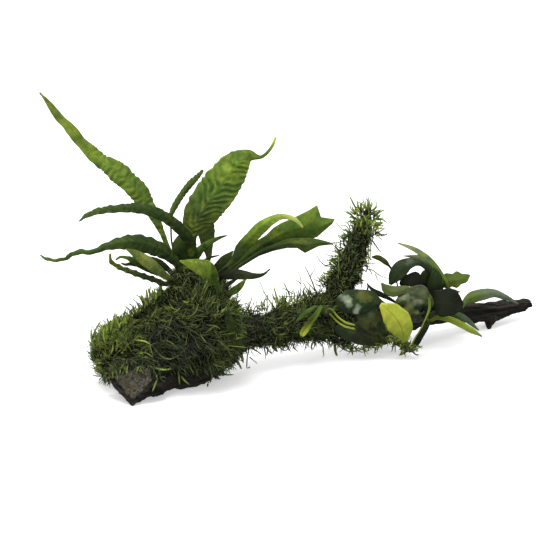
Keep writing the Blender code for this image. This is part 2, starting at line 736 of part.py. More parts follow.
stump, branch, right_fork = make_trunk()
upright_fork = make_upright_fork(branch)
add_spike(right_fork)

fern_root = rhizome("fern_rhizome", FERN_RHIZOME_STATIONS)
left_root = rhizome("anubias_rhizome_left", LEFT_RHIZOME_STATIONS, [branch, right_fork])
right_root = rhizome("anubias_rhizome_right", RIGHT_RHIZOME_STATIONS, [right_fork])
small_root = rhizome("anubias_rhizome_small", SMALL_RHIZOME_STATIONS)

make_fern_left(fern_root)
make_fern_middle(fern_root)
make_fern_right(fern_root)
make_ovals_left(left_root)
make_ovals_middle(right_root)
make_ovals_right(right_root)
make_small_shoot(small_root)

mound_form = make_mound(stump, branch, fern_root)
wood_and_roots = [stump, branch, upright_fork, right_fork, left_root, small_root]
sleeve_form = make_branch_moss(mound_form, wood_and_roots)
make_upright_moss(sleeve_form, upright_fork, branch)
make_low_moss(left_root)
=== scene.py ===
# %% [markdown]
# # Java fern on driftwood
# A piece of dark driftwood stands on its sawn thick end. Moss covers most of it, a java
# fern grows from a creeping stem on the thick end, and a broad-leaved plant grows further
# along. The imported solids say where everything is, and each of them is dressed here with
# a finer piece: thin ribbed leaves, rough wood and thousands of moss strands.

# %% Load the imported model
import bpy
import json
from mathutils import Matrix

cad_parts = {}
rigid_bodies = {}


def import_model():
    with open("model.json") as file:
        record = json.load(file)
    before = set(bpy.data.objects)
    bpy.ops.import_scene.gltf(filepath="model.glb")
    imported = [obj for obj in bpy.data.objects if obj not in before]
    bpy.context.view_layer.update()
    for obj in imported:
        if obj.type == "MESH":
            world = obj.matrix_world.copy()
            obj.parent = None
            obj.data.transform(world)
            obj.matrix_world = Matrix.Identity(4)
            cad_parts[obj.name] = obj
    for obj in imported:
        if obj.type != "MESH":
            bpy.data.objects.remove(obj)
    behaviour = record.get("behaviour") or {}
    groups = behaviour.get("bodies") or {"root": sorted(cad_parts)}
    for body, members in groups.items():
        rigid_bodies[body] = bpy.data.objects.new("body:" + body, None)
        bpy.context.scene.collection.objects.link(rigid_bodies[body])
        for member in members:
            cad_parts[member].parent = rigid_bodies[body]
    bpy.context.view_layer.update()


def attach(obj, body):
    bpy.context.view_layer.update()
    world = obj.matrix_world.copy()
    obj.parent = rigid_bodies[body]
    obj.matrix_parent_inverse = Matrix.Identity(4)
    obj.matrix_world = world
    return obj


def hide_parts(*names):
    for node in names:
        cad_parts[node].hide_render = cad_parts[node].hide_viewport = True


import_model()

# %% Tools
import json
import math

import bpy
import numpy as np
from mathutils import Vector, noise
from mathutils.bvhtree import BVHTree

# Without a seed of its own the vector noise starts from the clock
NOISE_SEED = 7
noise.seed_set(NOISE_SEED)

# %% [markdown]
# ## Places
# The plant is laid out on a full-size drawing of its front, 550 mm square. A place is
# given in millimetres across and down on that sheet, and as a depth away from the viewer.
# The sheet is seen from 3 m away and 20 degrees above, so one function turns the three
# numbers into a point of the model, along the viewer's line of sight. Tables of places
# are written as text, with a bar between one station and the next.

# %% From the drawing to the model
MM = 0.001
SHEET_SIDE = 550.0
EYE_TILT = math.radians(20.0)
EYE_DISTANCE = 3060.0
TO_RIGHT = np.array((1.0, 0.0, 0.0))
SIGHT = np.array((0.0, math.cos(EYE_TILT), -math.sin(EYE_TILT)))
SHEET_UP = np.array((0.0, math.sin(EYE_TILT), math.cos(EYE_TILT)))
STRAIGHT_UP = np.array((0.0, 0.0, 1.0))
STRAIGHT_BACK = np.array((0.0, 1.0, 0.0))
FRONT_CORNER = np.array((132.0, -50.0, 0.0))
FRONT_CORNER_DOWN = 407.0
SHEET_MIDDLE = (
    FRONT_CORNER
    + TO_RIGHT * (SHEET_SIDE / 2 - FRONT_CORNER[0])
    + SHEET_UP * (FRONT_CORNER_DOWN - SHEET_SIDE / 2)
)
EYE = SHEET_MIDDLE - SIGHT * EYE_DISTANCE
ORIGIN = np.array((295.0, 74.0, 0.0))


def sight_lines(across, down):
    across = np.asarray(across, float)[..., None]
    down = np.asarray(down, float)[..., None]
    sideways = TO_RIGHT * (across - SHEET_SIDE / 2)
    return SIGHT * EYE_DISTANCE + sideways + SHEET_UP * (SHEET_SIDE / 2 - down)


def seen(across, down, depth):
    """The points at this depth that the viewer sees at these places of the drawing."""
    lines = sight_lines(across, down)
    reach = (np.asarray(depth, float) - EYE[1]) / lines[..., 1]
    return (EYE + lines * reach[..., None] - ORIGIN) * MM


def on_sheet(points):
    """Where the viewer sees these points of the model on the drawing."""
    away = np.asarray(points) / MM + ORIGIN - EYE
    scale = EYE_DISTANCE / away.dot(SIGHT)
    across = SHEET_SIDE / 2 + away.dot(TO_RIGHT) * scale
    return across, SHEET_SIDE / 2 - away.dot(SHEET_UP) * scale


def seen_on_plane(across, down, point, normal):
    lines = sight_lines(across, down)
    reach = (point - EYE).dot(normal) / lines.dot(normal)
    return (EYE + lines * reach[..., None] - ORIGIN) * MM


def entries(table):
    """The rows of numbers of a table, one to a line or between two bars."""
    rows = [row.split() for row in table.replace("|", "\n").split("\n")]
    return [[float(word) for word in row] for row in rows if row]


def runs(table, width):
    """Named runs of stations from a table: a name, then rows of this many numbers."""
    made = {}
    for word in table.replace("|", " ").split():
        if word[0].isalpha():
            made[word] = row = []
        else:
            row.append(float(word))
    return {name: np.array(row).reshape(-1, width) for name, row in made.items()}


print("eye at", np.round((EYE - ORIGIN) * MM, 3))

# %% [markdown]
# ## Camera
# The camera stands at the eye of the drawing and looks down at the same angle, so a place
# on the sheet is also that pixel of the picture.

# %% Camera
SENSOR_WIDTH = 36.0
FURTHEST_SEEN = 60.0
camera_data = bpy.data.cameras.new("camera")
camera = bpy.data.objects.new("camera", camera_data)
bpy.context.scene.collection.objects.link(camera)
camera.location = Vector((EYE - ORIGIN) * MM)
camera.rotation_euler = (math.pi / 2 - EYE_TILT, 0.0, 0.0)
camera_data.sensor_width = SENSOR_WIDTH
camera_data.lens = SENSOR_WIDTH * EYE_DISTANCE / SHEET_SIDE
camera_data.clip_end = FURTHEST_SEEN
bpy.context.scene.camera = camera
print("lens", round(camera_data.lens, 1), "mm")

# %% [markdown]
# ## Smooth runs
# Every part of a plant is a run of measured stations: a stalk, a midrib, a branch. A
# smooth curve through them keeps the drawn places and rounds what lies between. Widths
# use the limited form, which never swings past a station's own value.

# %% Curves through stations


def smooth_through(knots, values, at, limited=False):
    knots = np.asarray(knots, float)
    values = np.asarray(values, float).reshape(len(knots), -1)
    steps = np.diff(knots)[:, None]
    slopes = np.diff(values, axis=0) / steps
    tangents = np.empty_like(values)
    tangents[0], tangents[-1] = slopes[0], slopes[-1]
    before, after = slopes[:-1], slopes[1:]
    if limited:
        agree = before * after > 0
        total = np.where(agree, before + after, 1.0)
        tangents[1:-1] = np.where(agree, 2 * before * after / total, 0.0)
    else:
        tangents[1:-1] = (steps[1:] * before + steps[:-1] * after) / (steps[:-1] + steps[1:])
    index = np.clip(np.searchsorted(knots, at, side="right") - 1, 0, len(steps) - 1)
    step = steps[index]
    s = (np.asarray(at, float) - knots[index])[:, None] / step
    here, there = index, index + 1
    near = (2 * s**3 - 3 * s**2 + 1) * values[here] + (s**3 - 2 * s**2 + s) * step * tangents[here]
    far = (3 * s**2 - 2 * s**3) * values[there] + (s**3 - s**2) * step * tangents[there]
    return near + far


def unit(vectors):
    return vectors / np.maximum(np.linalg.norm(vectors, axis=-1, keepdims=True), 1e-12)


def share_between(value, low, high):
    return np.clip((value - low) / (high - low), 0.0, 1.0)


def smoothstep(value, low, high):
    share = share_between(value, low, high)
    return share * share * (3 - 2 * share)


def travelled_along(points):
    """The distance along a row of points from its first to each of them."""
    return np.concatenate([[0], np.cumsum(np.linalg.norm(np.diff(points, axis=0), axis=1))])


def turns(count):
    """This many angles evenly around a circle."""
    return 2 * math.pi * np.arange(count) / count


def lumps(points, size, octaves=1):
    """Smooth noise from -1 to 1 at each point, with lumps of about this size in metres."""
    flat = np.asarray(points, float).reshape(-1, 3) / size
    if octaves == 1:
        made = [noise.noise(p) for p in flat]
    else:
        made = [noise.fractal(p, 1.0, 2.0, octaves) for p in flat]
    return np.array(made).reshape(np.shape(points)[:-1])


def lump_vectors(points, size):
    flat = np.asarray(points, float).reshape(-1, 3) / size
    return np.array([noise.noise_vector(p)[:] for p in flat]).reshape(np.shape(points))


# %% [markdown]
# ## One way to make a piece
# Each finished piece is a closed mesh with its place in its vertices. Colours that follow
# the growth of a leaf or a strand are kept as attributes on the mesh, where the material
# reads them. The helper also turns a shell whose faces point inwards the right way round.

# %% Making a piece


def linear(colour):
    """A colour given as three screen values from 0 to 255, as the renderer needs it."""
    value = np.asarray(colour, float) / 255.0
    return np.where(value <= 0.04045, value / 12.92, ((value + 0.055) / 1.055) ** 2.4)


def set_attribute(mesh, name, values, kind):
    field = {"FLOAT": "value", "FLOAT_VECTOR": "vector", "FLOAT_COLOR": "color"}[kind]
    made = mesh.attributes.new(name, kind, "POINT")
    made.data.foreach_set(field, np.ascontiguousarray(values, np.float32).ravel())


def mesh_from(name, points, faces, floats=None, vectors=None, tones=None, uv=None):
    points = np.asarray(points, float).reshape(-1, 3)
    triangles = [(f[0], f[k], f[k + 1]) for f in faces for k in range(1, len(f) - 1)]
    corners = points[np.array(triangles)]
    volume = np.einsum("ij,ij->i", corners[:, 0], np.cross(corners[:, 1], corners[:, 2])).sum()
    if volume < 0:
        faces = [tuple(reversed(f)) for f in faces]
    mesh = bpy.data.meshes.new(name)
    mesh.from_pydata(points.tolist(), [], faces)
    for key, values in (floats or {}).items():
        set_attribute(mesh, key, values, "FLOAT")
    for key, values in (vectors or {}).items():
        set_attribute(mesh, key, values, "FLOAT_VECTOR")
    if tones is not None:
        tones = np.asarray(tones, float).reshape(-1, 3)
        set_attribute(mesh, "tone", np.hstack([tones, np.ones((len(tones), 1))]), "FLOAT_COLOR")
    if uv is not None:
        loop_vertices = np.empty(len(mesh.loops), np.int32)
        mesh.loops.foreach_get("vertex_index", loop_vertices)
        layer = mesh.uv_layers.new(name="leaf")
        layer.data.foreach_set("uv", np.asarray(uv, np.float32)[loop_vertices].ravel())
    mesh.shade_smooth()
    return mesh


def triangles_of(mesh):
    return sum(len(polygon.vertices) - 2 for polygon in mesh.polygons)


def add_piece(name, mesh, finish, slot, *nodes):
    """Puts a finished mesh in the scene, on the one body, in place of these solids."""
    mesh.name = name
    mesh.materials.clear()
    mesh.materials.append(finish)
    piece = bpy.data.objects.new(name, mesh)
    bpy.context.scene.collection.objects.link(piece)
    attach(piece, "root")
    if nodes:
        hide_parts(*nodes)
    return piece


# %% [markdown]
# ## Node helpers
# A finish is a small tree of nodes around one shader. These short calls add a node, set
# its sockets by name or number and hand back its output, so a tree reads from top to
# bottom. The same calls build the surround and the tree that grows the moss.

# %% Building a tree of nodes


def live_socket(sockets, name):
    return next(s for s in sockets if s.name == name and s.enabled)


class Nodes:
    def __init__(self, tree):
        self.tree = tree

    def set(self, node, inputs):
        """Joins or sets a node's sockets; a colour is given in screen values."""
        for key, value in inputs.items():
            socket = node.inputs[key] if isinstance(key, int) else live_socket(node.inputs, key)
            if isinstance(value, bpy.types.NodeSocket):
                self.tree.links.new(value, socket)
            elif socket.type == "RGBA":
                socket.default_value = [*linear(value), 1.0]
            else:
                socket.default_value = value

    def add(self, kind, inputs=None, **properties):
        node = self.tree.nodes.new(kind)
        for key, value in properties.items():
            setattr(node, key, value)
        self.set(node, inputs or {})
        return node

    def math(self, how, a, b=0.0, clamp=False):
        return self.add("ShaderNodeMath", {0: a, 1: b}, operation=how, use_clamp=clamp).outputs[0]


class Finish(Nodes):
    """A material around one shader, with its coordinates in metres of the model."""

    def __init__(self, name, **fixed):
        self.material = bpy.data.materials.new(name)
        self.material.use_nodes = True
        super().__init__(self.material.node_tree)
        self.shader = self.tree.nodes["Principled BSDF"]
        self.set(self.shader, fixed)
        self.place = self.add("ShaderNodeTexCoord").outputs["Object"]

    def attribute(self, name, output="Fac"):
        return self.add("ShaderNodeAttribute", attribute_name=name).outputs[output]

    def stretched(self, vector, scale):
        return self.add("ShaderNodeMapping", {"Vector": vector, "Scale": scale}).outputs[0]

    def noise(self, scale, detail=4.0, vector=None, rough=0.5):
        return self.add("ShaderNodeTexNoise", {
            "Vector": vector or self.place, "Scale": scale, "Detail": detail,
            "Roughness": rough}).outputs["Fac"]

    def cell_edges(self, scale):
        inputs = {"Vector": self.place, "Scale": scale}
        node = self.add("ShaderNodeTexVoronoi", inputs, feature="DISTANCE_TO_EDGE")
        return node.outputs["Distance"]

    def span(self, value, low, high, to_low=0.0, to_high=1.0):
        """Value between low and high, eased, as a share between the two others."""
        node = self.add("ShaderNodeMapRange", {
            "Value": value, "From Min": low, "From Max": high, "To Min": to_low,
            "To Max": to_high}, interpolation_type="SMOOTHSTEP")
        return node.outputs["Result"]

    def mix(self, factor, a, b):
        return self.add("ShaderNodeMix", {0: factor, 6: a, 7: b}, data_type="RGBA").outputs[2]

    def scaled(self, colour, factors):
        """The colour times three factors, which may be above one."""
        node = self.add(
            "ShaderNodeMix", {0: 1.0, 6: colour}, data_type="RGBA", blend_type="MULTIPLY")
        node.inputs[7].default_value = (*factors, 1.0)
        return node.outputs[2]

    def bump(self, height, depth, strength=1.0):
        inputs = {"Height": height, "Distance": depth, "Strength": strength}
        self.set(self.shader, {"Normal": self.add("ShaderNodeBump", inputs).outputs[0]})

    def colour(self, value):
        self.set(self.shader, {"Base Color": value})


# %% [markdown]
# ## Floor and light
# The plant stands on a plain white floor under a large soft light from above and in
# front. The surround is white above and darker below, and the floor sends no light back
# up, so the undersides stay as dark as they are against a white sheet. The floor glows a
# little, which keeps the shadow light. The view transform is the plain one, so a leaf's
# colour comes out as it was mixed.

# %% Floor and light
FLOOR_LOOK = {
    "Base Color": (0.86, 0.86, 0.86, 1.0), "Roughness": 0.9, "Specular IOR Level": 0.1,
    "Emission Color": (1.0, 1.0, 1.0, 1.0), "Emission Strength": 0.42}
FLOOR_SIDE = 40.0
# The surround's strength rises with height from the low direction to the high one
SURROUND = {"From Min": -0.25, "From Max": 0.35, "To Min": 0.27, "To Max": 0.85}
SURROUND_COLOUR = (255, 255, 255)
LIT_PLACE = Vector((0.0, 0.0, 0.1))
# Place in metres, side in metres and power in watts
SOFTBOXES = {
    "softbox_above": ((-0.35, -0.55, 1.9), 1.0, 27.0),
    "softbox_behind": ((0.7, 1.5, 1.3), 0.9, 7.0),
}


def floor_material():
    made = bpy.data.materials.new("floor")
    made.use_nodes = True
    shader = made.node_tree.nodes["Principled BSDF"]
    for label, value in FLOOR_LOOK.items():
        shader.inputs[label].default_value = value
    return made


half = FLOOR_SIDE / 2
floor_mesh = bpy.data.meshes.new("floor")
floor_mesh.from_pydata(
    [(-half, -half, 0), (half, -half, 0), (half, half, 0), (-half, half, 0)], [], [(0, 1, 2, 3)])
floor = bpy.data.objects.new("floor", floor_mesh)
bpy.context.scene.collection.objects.link(floor)
floor_mesh.materials.append(floor_material())
floor.visible_diffuse = False
floor.visible_glossy = False

for name, (place, size, watts) in SOFTBOXES.items():
    light_data = bpy.data.lights.new(name, "AREA")
    light_data.energy = watts
    light_data.size = size
    light = bpy.data.objects.new(name, light_data)
    bpy.context.scene.collection.objects.link(light)
    light.location = place
    light.rotation_euler = (LIT_PLACE - light.location).to_track_quat("-Z", "Y").to_euler()

world = bpy.data.worlds.new("surround")
world.use_nodes = True
surround = Nodes(world.node_tree)
direction = surround.add("ShaderNodeTexCoord").outputs["Generated"]
height = surround.add("ShaderNodeSeparateXYZ", {"Vector": direction}).outputs["Z"]
strength = surround.add("ShaderNodeMapRange", {"Value": height, **SURROUND}).outputs["Result"]
surround.set(
    world.node_tree.nodes["Background"], {"Color": SURROUND_COLOUR, "Strength": strength})
bpy.context.scene.world = world
bpy.context.scene.view_settings.view_transform = "Standard"

# %% [markdown]
# ## Driftwood
# Waterlogged root wood is almost black, with furrows that run along the grain. Each wood
# solid is a row of lumpy rings, so the dressed piece follows the same rings with many
# more points, and furrows are pressed in along the grain. Every point also keeps its
# place in an imaginary straightened log, so the finish can stretch its streaks along the
# wood even where the wood bends.

# %% Wood finish
BARK_TONES = (17, 16, 13), (58, 56, 48)
BARK_PATCHES = (52, 46, 38)
SAWN_TONES = (52, 48, 40), (103, 98, 84)
# Noise scale, detail, where the stain starts and ends, its strength and its colour
SAWN_STAINS = [
    (70.0, 4.0, 0.50, 0.66, 0.75, (58, 52, 42)), (300.0, 2.0, 0.60, 0.68, 0.85, (28, 25, 21)),
    (36.0, 3.0, 0.50, 0.62, 0.5, (84, 88, 56))]


def wood_finish():
    f = Finish("wet_driftwood", **{"Specular IOR Level": 0.14})
    log = f.attribute("log_place", "Vector")
    streaks = f.noise(1.0, 6.0, f.stretched(log, (260.0, 260.0, 24.0)), 0.6)
    patches = f.noise(28.0, 3.0)
    specks = f.noise(420.0, 5.0, rough=0.7)
    bark = f.mix(f.span(streaks, 0.35, 0.68), *BARK_TONES)
    bark = f.mix(f.span(patches, 0.54, 0.72, 0.0, 0.4), bark, BARK_PATCHES)
    saw = f.mix(f.span(specks, 0.38, 0.62), *SAWN_TONES)
    for scale, detail, low, high, strength, stain in SAWN_STAINS:
        saw = f.mix(f.span(f.noise(scale, detail), low, high, 0.0, strength), saw, stain)
    f.colour(f.mix(f.attribute("sawn"), bark, saw))
    f.set(f.shader, {"Roughness": f.span(streaks, 0.3, 0.7, 0.5, 0.85)})
    f.bump(f.math("ADD", streaks, f.math("MULTIPLY", specks, 0.4)), 0.0016, 0.9)
    return f.material


# %% [markdown]
# The rings are the same ones as in the solids. A ring lies square to its path, or level
# where the form was built up in layers, and swells and sinks with smooth noise.

# %% Rings around a path
LUMPS_AROUND = 1.6
LUMPS_ALONG = 0.45
SEED_STEP = 7.3


def skin(stations, sides, fineness, swell, seed, reference=STRAIGHT_UP, level=False, inset=0.0):
    """Fine rings through stations of across, down, depth, half width and half height."""
    stations = np.asarray(stations, float)
    knots = np.arange(len(stations))
    row = np.linspace(0, len(stations) - 1, (len(stations) - 1) * fineness + 1)
    centres = smooth_through(knots, seen(*stations[:, :3].T), row)
    halves = smooth_through(knots, stations[:, 3:5] - inset, row, limited=True) * MM
    ahead = unit(np.gradient(centres, axis=0))
    if level:
        side = np.tile(TO_RIGHT, (len(row), 1))
        upward = np.tile(STRAIGHT_BACK, (len(row), 1))
    else:
        side = unit(np.cross(ahead, reference))
        upward = unit(np.cross(side, ahead))
    angle = turns(sides)
    spots = np.zeros((len(row), sides, 3))
    spots[..., 0] = np.cos(angle) * LUMPS_AROUND
    spots[..., 1] = np.sin(angle) * LUMPS_AROUND
    spots[..., 2] = (row * LUMPS_ALONG + seed * SEED_STEP)[:, None]
    grown = 1.0 + swell * lumps(spots, 1.0)
    wide = halves[:, 0, None] * np.cos(angle) * grown
    high = halves[:, 1, None] * np.sin(angle) * grown
    points = centres[:, None] + side[:, None] * wide[..., None] + upward[:, None] * high[..., None]
    travelled = np.broadcast_to(travelled_along(centres)[:, None], wide.shape)
    log = np.stack([wide, high, travelled], axis=-1)
    return points, log


def grid_normals(points):
    along = np.gradient(points, axis=0)
    around = np.roll(points, -1, axis=1) - np.roll(points, 1, axis=1)
    return unit(np.cross(around, along))


def tube_faces(rows, sides):
    faces = []
    for i in range(rows - 1):
        for k in range(sides):
            n = (k + 1) % sides
            a, b = i * sides, (i + 1) * sides
            faces.append((a + k, a + n, b + n, b + k))
    return faces


def closed_tube(points, log):
    """Vertices, faces and log places of a tube with a point in the middle of each end."""
    rows, sides = points.shape[:2]
    faces = tube_faces(rows, sides)
    flat = list(points.reshape(-1, 3))
    places = list(log.reshape(-1, 3))
    for row, forward in ((0, False), (rows - 1, True)):
        middle = len(flat)
        flat.append(points[row].mean(axis=0))
        places.append(log[row].mean(axis=0))
        for k in range(sides):
            a, b = row * sides + k, row * sides + (k + 1) % sides
            faces.append((a, b, middle) if forward else (b, a, middle))
    return np.array(flat), faces, np.array(places)


# %% [markdown]
# Furrows are a ridged noise in the straightened log, stretched ten times along it. They
# are real geometry, because they show at the outline; the finish adds only fine streaks.

# %% Wood pieces
WOOD_SIDES = 84
BARK_SWELL = 0.28
# How deep the furrows are, in metres
TRUNK_FURROW = 0.0014
UPRIGHT_FURROW = 0.0009
END_FURROW = 0.0013
SPIKE_FURROW = 0.0007

# Places of the drawing around the cut end and around its bare face
SAWN_OUTLINE, SAWN_FACE = runs("""
outline 152 382|151 375|147 369|135 370|122 372|111 375|109 379|113 387|123 397|132 407|139 400|
147 391
face 112 374|147 368|152 382|136 398|131.5 401
""", 2).values()
SAW_POINT = FRONT_CORNER
SAW_NORMAL = unit(np.array((-0.137, -0.912, 0.386)))
SAW_ROWS = 16
CAP_ROWS = 18

# Wood stations: across, down, depth, half width and half height
STUMP, BRANCH, RIGHT_FORK, UPRIGHT_FORK = runs("""
stump 141 376 -20 25 25|158 362 4 31 30|182 354 20 36 34|206 347 32 32 30|228 335 43 23 21
branch 250 328 52 14 13|280 327 66 11 11|308 324 80 11 11|332 318 93 14 13|356 319 104 12 12
right_fork 390 320 122 12 12|425 314 142 11.5 11.5|452 312 158 10.5 10.5|475 312 170 10 10|
495 310 182 9 9|512 307 192 7 7|524 304.5 200 5 5|531 303.5 204 3 3
upright_fork 336 314 95 11 11|341 295 94 10 10|347 275 93 9 9|354 255 92 8 8|360 238 91 7 7|
365 222 90 5 5|367 211 89 3 3
""", 5).values()
FINENESS = 12
OVERLAP_ROWS = 3


def furrowed(points, log, depth):
    """The wood's skin with furrows along the grain and a few rough knots."""
    narrow = log * np.array((1.0, 1.0, 0.10))
    furrows = 1.0 - np.abs(lumps(narrow, 0.0045, 3)) * 2.2
    fine = lumps(log * np.array((1.0, 1.0, 0.22)), 0.0016, 2)
    knots = lumps(points, 0.011, 2)
    move = (furrows - 0.6) * depth + knots * depth * 1.3 + fine * depth * 0.35
    return points + grid_normals(points) * move[..., None]


def on_ground(points):
    points = np.array(points)
    points[..., 2] = np.maximum(points[..., 2], 0.0)
    return points


trunk_points, trunk_log = skin(
    np.vstack([STUMP, BRANCH, RIGHT_FORK]), WOOD_SIDES, FINENESS, BARK_SWELL, 1)
upright_points, upright_log = skin(
    UPRIGHT_FORK, WOOD_SIDES, FINENESS, BARK_SWELL, 2, reference=STRAIGHT_BACK)
trunk_points = furrowed(trunk_points, trunk_log, TRUNK_FURROW)
upright_points = furrowed(upright_points, upright_log, UPRIGHT_FURROW)
print("trunk rings", trunk_points.shape[0], "of", WOOD_SIDES)

# %% [markdown]
# The thick end is closed by the saw cut. Its outline is a polygon on the cutting plane,
# and the bark runs from that outline to the first ring. A strip of bark along the lower
# left and right edges is left dark, as on the real end, and the face itself is slightly
# uneven.

# %% The sawn end
# In metres: how rough the bare face is, and how far the bark's strip lies below it
FACE_ROUGHNESS = 0.0005
BARK_STEP = 0.0022


def polygon_ring(outline, count):
    """Points evenly along a closed outline, the same number along every side of it."""
    each = count // len(outline)
    ring = []
    for a, b in zip(outline, np.roll(outline, -1, axis=0)):
        ring += [a + (b - a) * k / each for k in range(each)]
    return np.array(ring)


def inside_share(places, outline):
    """How far inside a convex outline each place of the drawing is, in millimetres."""
    depth = np.full(places.shape[:-1], np.inf)
    middle = outline.mean(axis=0)
    for a, b in zip(outline, np.roll(outline, -1, axis=0)):
        edge = (b - a) / np.linalg.norm(b - a)
        outward = np.array((edge[1], -edge[0]))
        if (middle - a).dot(outward) > 0:
            outward = -outward
        depth = np.minimum(depth, -(places - a).dot(outward))
    return depth


def make_stump():
    outline = polygon_ring(SAWN_OUTLINE, WOOD_SIDES)
    middle = outline.mean(axis=0)
    shares = np.linspace(0.0, 1.0, CAP_ROWS + 1)[1:, None, None]
    places = middle + (outline - middle) * shares
    face = seen_on_plane(places[..., 0], places[..., 1], SAW_POINT, SAW_NORMAL)
    ragged = lumps(face, 0.004, 2) * 1.6
    sawn = smoothstep(inside_share(places, SAWN_FACE) + ragged, -0.4, 0.9)
    uneven = lumps(face, 0.006, 3) * FACE_ROUGHNESS
    face = face + SAW_NORMAL * (uneven - (1 - sawn) * BARK_STEP)[..., None]
    first = trunk_points[0]
    shares = np.linspace(0.0, 1.0, SAW_ROWS + 1)[1:-1, None, None]
    bark = face[-1] + (first - face[-1]) * shares
    bark_log = np.zeros_like(bark)
    bark_log[..., :2] = trunk_log[0][:, :2]
    bark_log[..., 2] = -0.03 + 0.03 * shares[..., 0]
    bark = furrowed(bark, bark_log, END_FURROW)
    last = (len(STUMP) - 1) * FINENESS + OVERLAP_ROWS
    points = np.concatenate([face, bark, trunk_points[:last]])
    face_log = np.concatenate([places, face[..., :1]], -1) * MM
    log = np.concatenate([face_log, bark_log, trunk_log[:last]])
    sawn = np.concatenate([sawn, np.zeros((len(points) - CAP_ROWS, WOOD_SIDES))])
    flat, faces, places = closed_tube(on_ground(points), log)
    sawn = np.concatenate([sawn.ravel(), [1.0, 0.0]])
    return mesh_from("stump", flat, faces, {"sawn": sawn}, {"log_place": places})


def wood_mesh(name, points, log):
    flat, faces, places = closed_tube(on_ground(points), log)
    return mesh_from(name, flat, faces, {"sawn": np.zeros(len(flat))}, {"log_place": places})


# %% [markdown]
# A broken twig below the right fork touches the ground. It is a short tapering tube whose
# root is buried in the fork, joined to the fork's mesh.

# %% Making the wood
SPIKE_ROOT = (489.0, 313.0, 178.0)
SPIKE_FOOT = (490.0, 329.0)
SPIKE_RADII = (0, 0.45, 0.75, 1.0), (8.5, 6.0, 3.6, 1.1)
SPIKE_ROWS = 26
SPIKE_SIDES = 36


def joined(name, meshes):
    """One mesh of several, with their attributes."""
    things = []
    for k, mesh in enumerate(meshes):
        thing = bpy.data.objects.new(f"{name}_{k}", mesh)
        bpy.context.scene.collection.objects.link(thing)
        things.append(thing)
    with bpy.context.temp_override(active_object=things[0], selected_editable_objects=things):
        bpy.ops.object.join()
    mesh = things[0].data
    bpy.data.objects.remove(things[0])
    return mesh


def make_spike():
    """The spike from its root in the fork to its foot on the ground."""
    root = seen(*SPIKE_ROOT)
    foot = seen_on_plane(*SPIKE_FOOT, np.zeros(3), STRAIGHT_UP)
    shares = np.linspace(0, 1, SPIKE_ROWS)
    radius = smooth_through(*SPIKE_RADII, shares, limited=True) * MM
    angle = turns(SPIKE_SIDES)
    centres = root + (foot - root) * shares[:, None]
    centres = centres + TO_RIGHT * (np.sin(shares * 5.0) * 0.8 * MM)[:, None]
    wide = radius * np.cos(angle)
    deep = radius * np.sin(angle)
    points = centres[:, None] + TO_RIGHT * wide[..., None] + STRAIGHT_BACK * deep[..., None]
    log = np.stack([wide, deep, np.broadcast_to(centres[:, None, 2], wide.shape)], axis=-1)
    return wood_mesh("spike", furrowed(points, log, SPIKE_FURROW), log)


BARK = wood_finish()
fork_start = (len(STUMP) + len(BRANCH) - 1) * FINENESS
branch_start = (len(STUMP) - 1) * FINENESS
stump = add_piece("stump_wood", make_stump(), BARK, "bark", "driftwood_stump")
branch_rows = slice(branch_start, fork_start + OVERLAP_ROWS)
branch = add_piece(
    "branch_wood", wood_mesh("branch", trunk_points[branch_rows], trunk_log[branch_rows]),
    BARK, "bark", "driftwood_branch")
fork_mesh = wood_mesh("fork", trunk_points[fork_start:], trunk_log[fork_start:])
right_fork = add_piece(
    "right_fork_wood", joined("right_fork_wood", [fork_mesh, make_spike()]), BARK, "bark",
    "driftwood_right_fork")
upright_fork = add_piece(
    "upright_fork_wood", wood_mesh("upright", upright_points, upright_log), BARK, "bark",
    "driftwood_upright_fork")
for piece in (stump, branch, right_fork, upright_fork):
    print(piece.name, triangles_of(piece.data), "triangles")

# %% [markdown]
# ## Rhizomes
# Both plants creep along the wood on a knobbly green-brown stem, as thick as a finger.
# The same rings give its form; short knobs mark where old leaves stood.

# %% Rhizomes
RHIZOMES = runs("""
fern_rhizome 168 282 7 3 3|172 280 9 5.5 5.5|184 275 12 6.5 6.5|200 275 12 6.5 6.5|214 280 10 6 6|
222 287 6 5 5|225 291 4 3 3
anubias_rhizome_left 356 324 82 3 3|366 326 88 5 5|382 330 94 5.5 5.5|397 339 91 5.5 5.5|
407 347 82 5 5|413 350 78 3 3
anubias_rhizome_right 408 318 112 3 3|416 318 117 5 5|430 314 125 5.5 5.5|446 310 135 5 5|
457 309 141 3 3
anubias_rhizome_small 320 309 63 3 3|326 311 66 5 5|332 314 69 3 3
""", 5)
RHIZOME_TONES = (38, 44, 26), (78, 86, 46)
RHIZOME_SPOTS = (44, 38, 27)
RHIZOME_SIDES = 32
RHIZOME_FINENESS = 10
RHIZOME_SWELL = 0.25


def rhizome_finish():
    f = Finish("rhizome", Roughness=0.5)
    log = f.attribute("log_place", "Vector")
    rings = f.noise(1.0, 4.0, f.stretched(log, (120.0, 120.0, 420.0)))
    colour = f.mix(f.span(rings, 0.36, 0.64), *RHIZOME_TONES)
    spots = f.span(f.noise(160.0, 4.0), 0.52, 0.64, 0.0, 0.8)
    f.colour(f.mix(spots, colour, RHIZOME_SPOTS))
    f.bump(rings, 0.0008, 0.8)
    return f.material


RHIZOME = rhizome_finish()
for name, stations in RHIZOMES.items():
    points, log = skin(stations, RHIZOME_SIDES, RHIZOME_FINENESS, RHIZOME_SWELL, 3)
    knobs = np.maximum(lumps(points, 0.0045), 0.0) * 0.0014 + lumps(points, 0.0018) * 0.0003
    points = points + grid_normals(points) * knobs[..., None]
    flat, faces, places = closed_tube(points, log)
    mesh = mesh_from(name, flat, faces, None, {"log_place": places})
    add_piece(name.replace("rhizome", "creeping_stem"), mesh, RHIZOME, "rhizome", name)

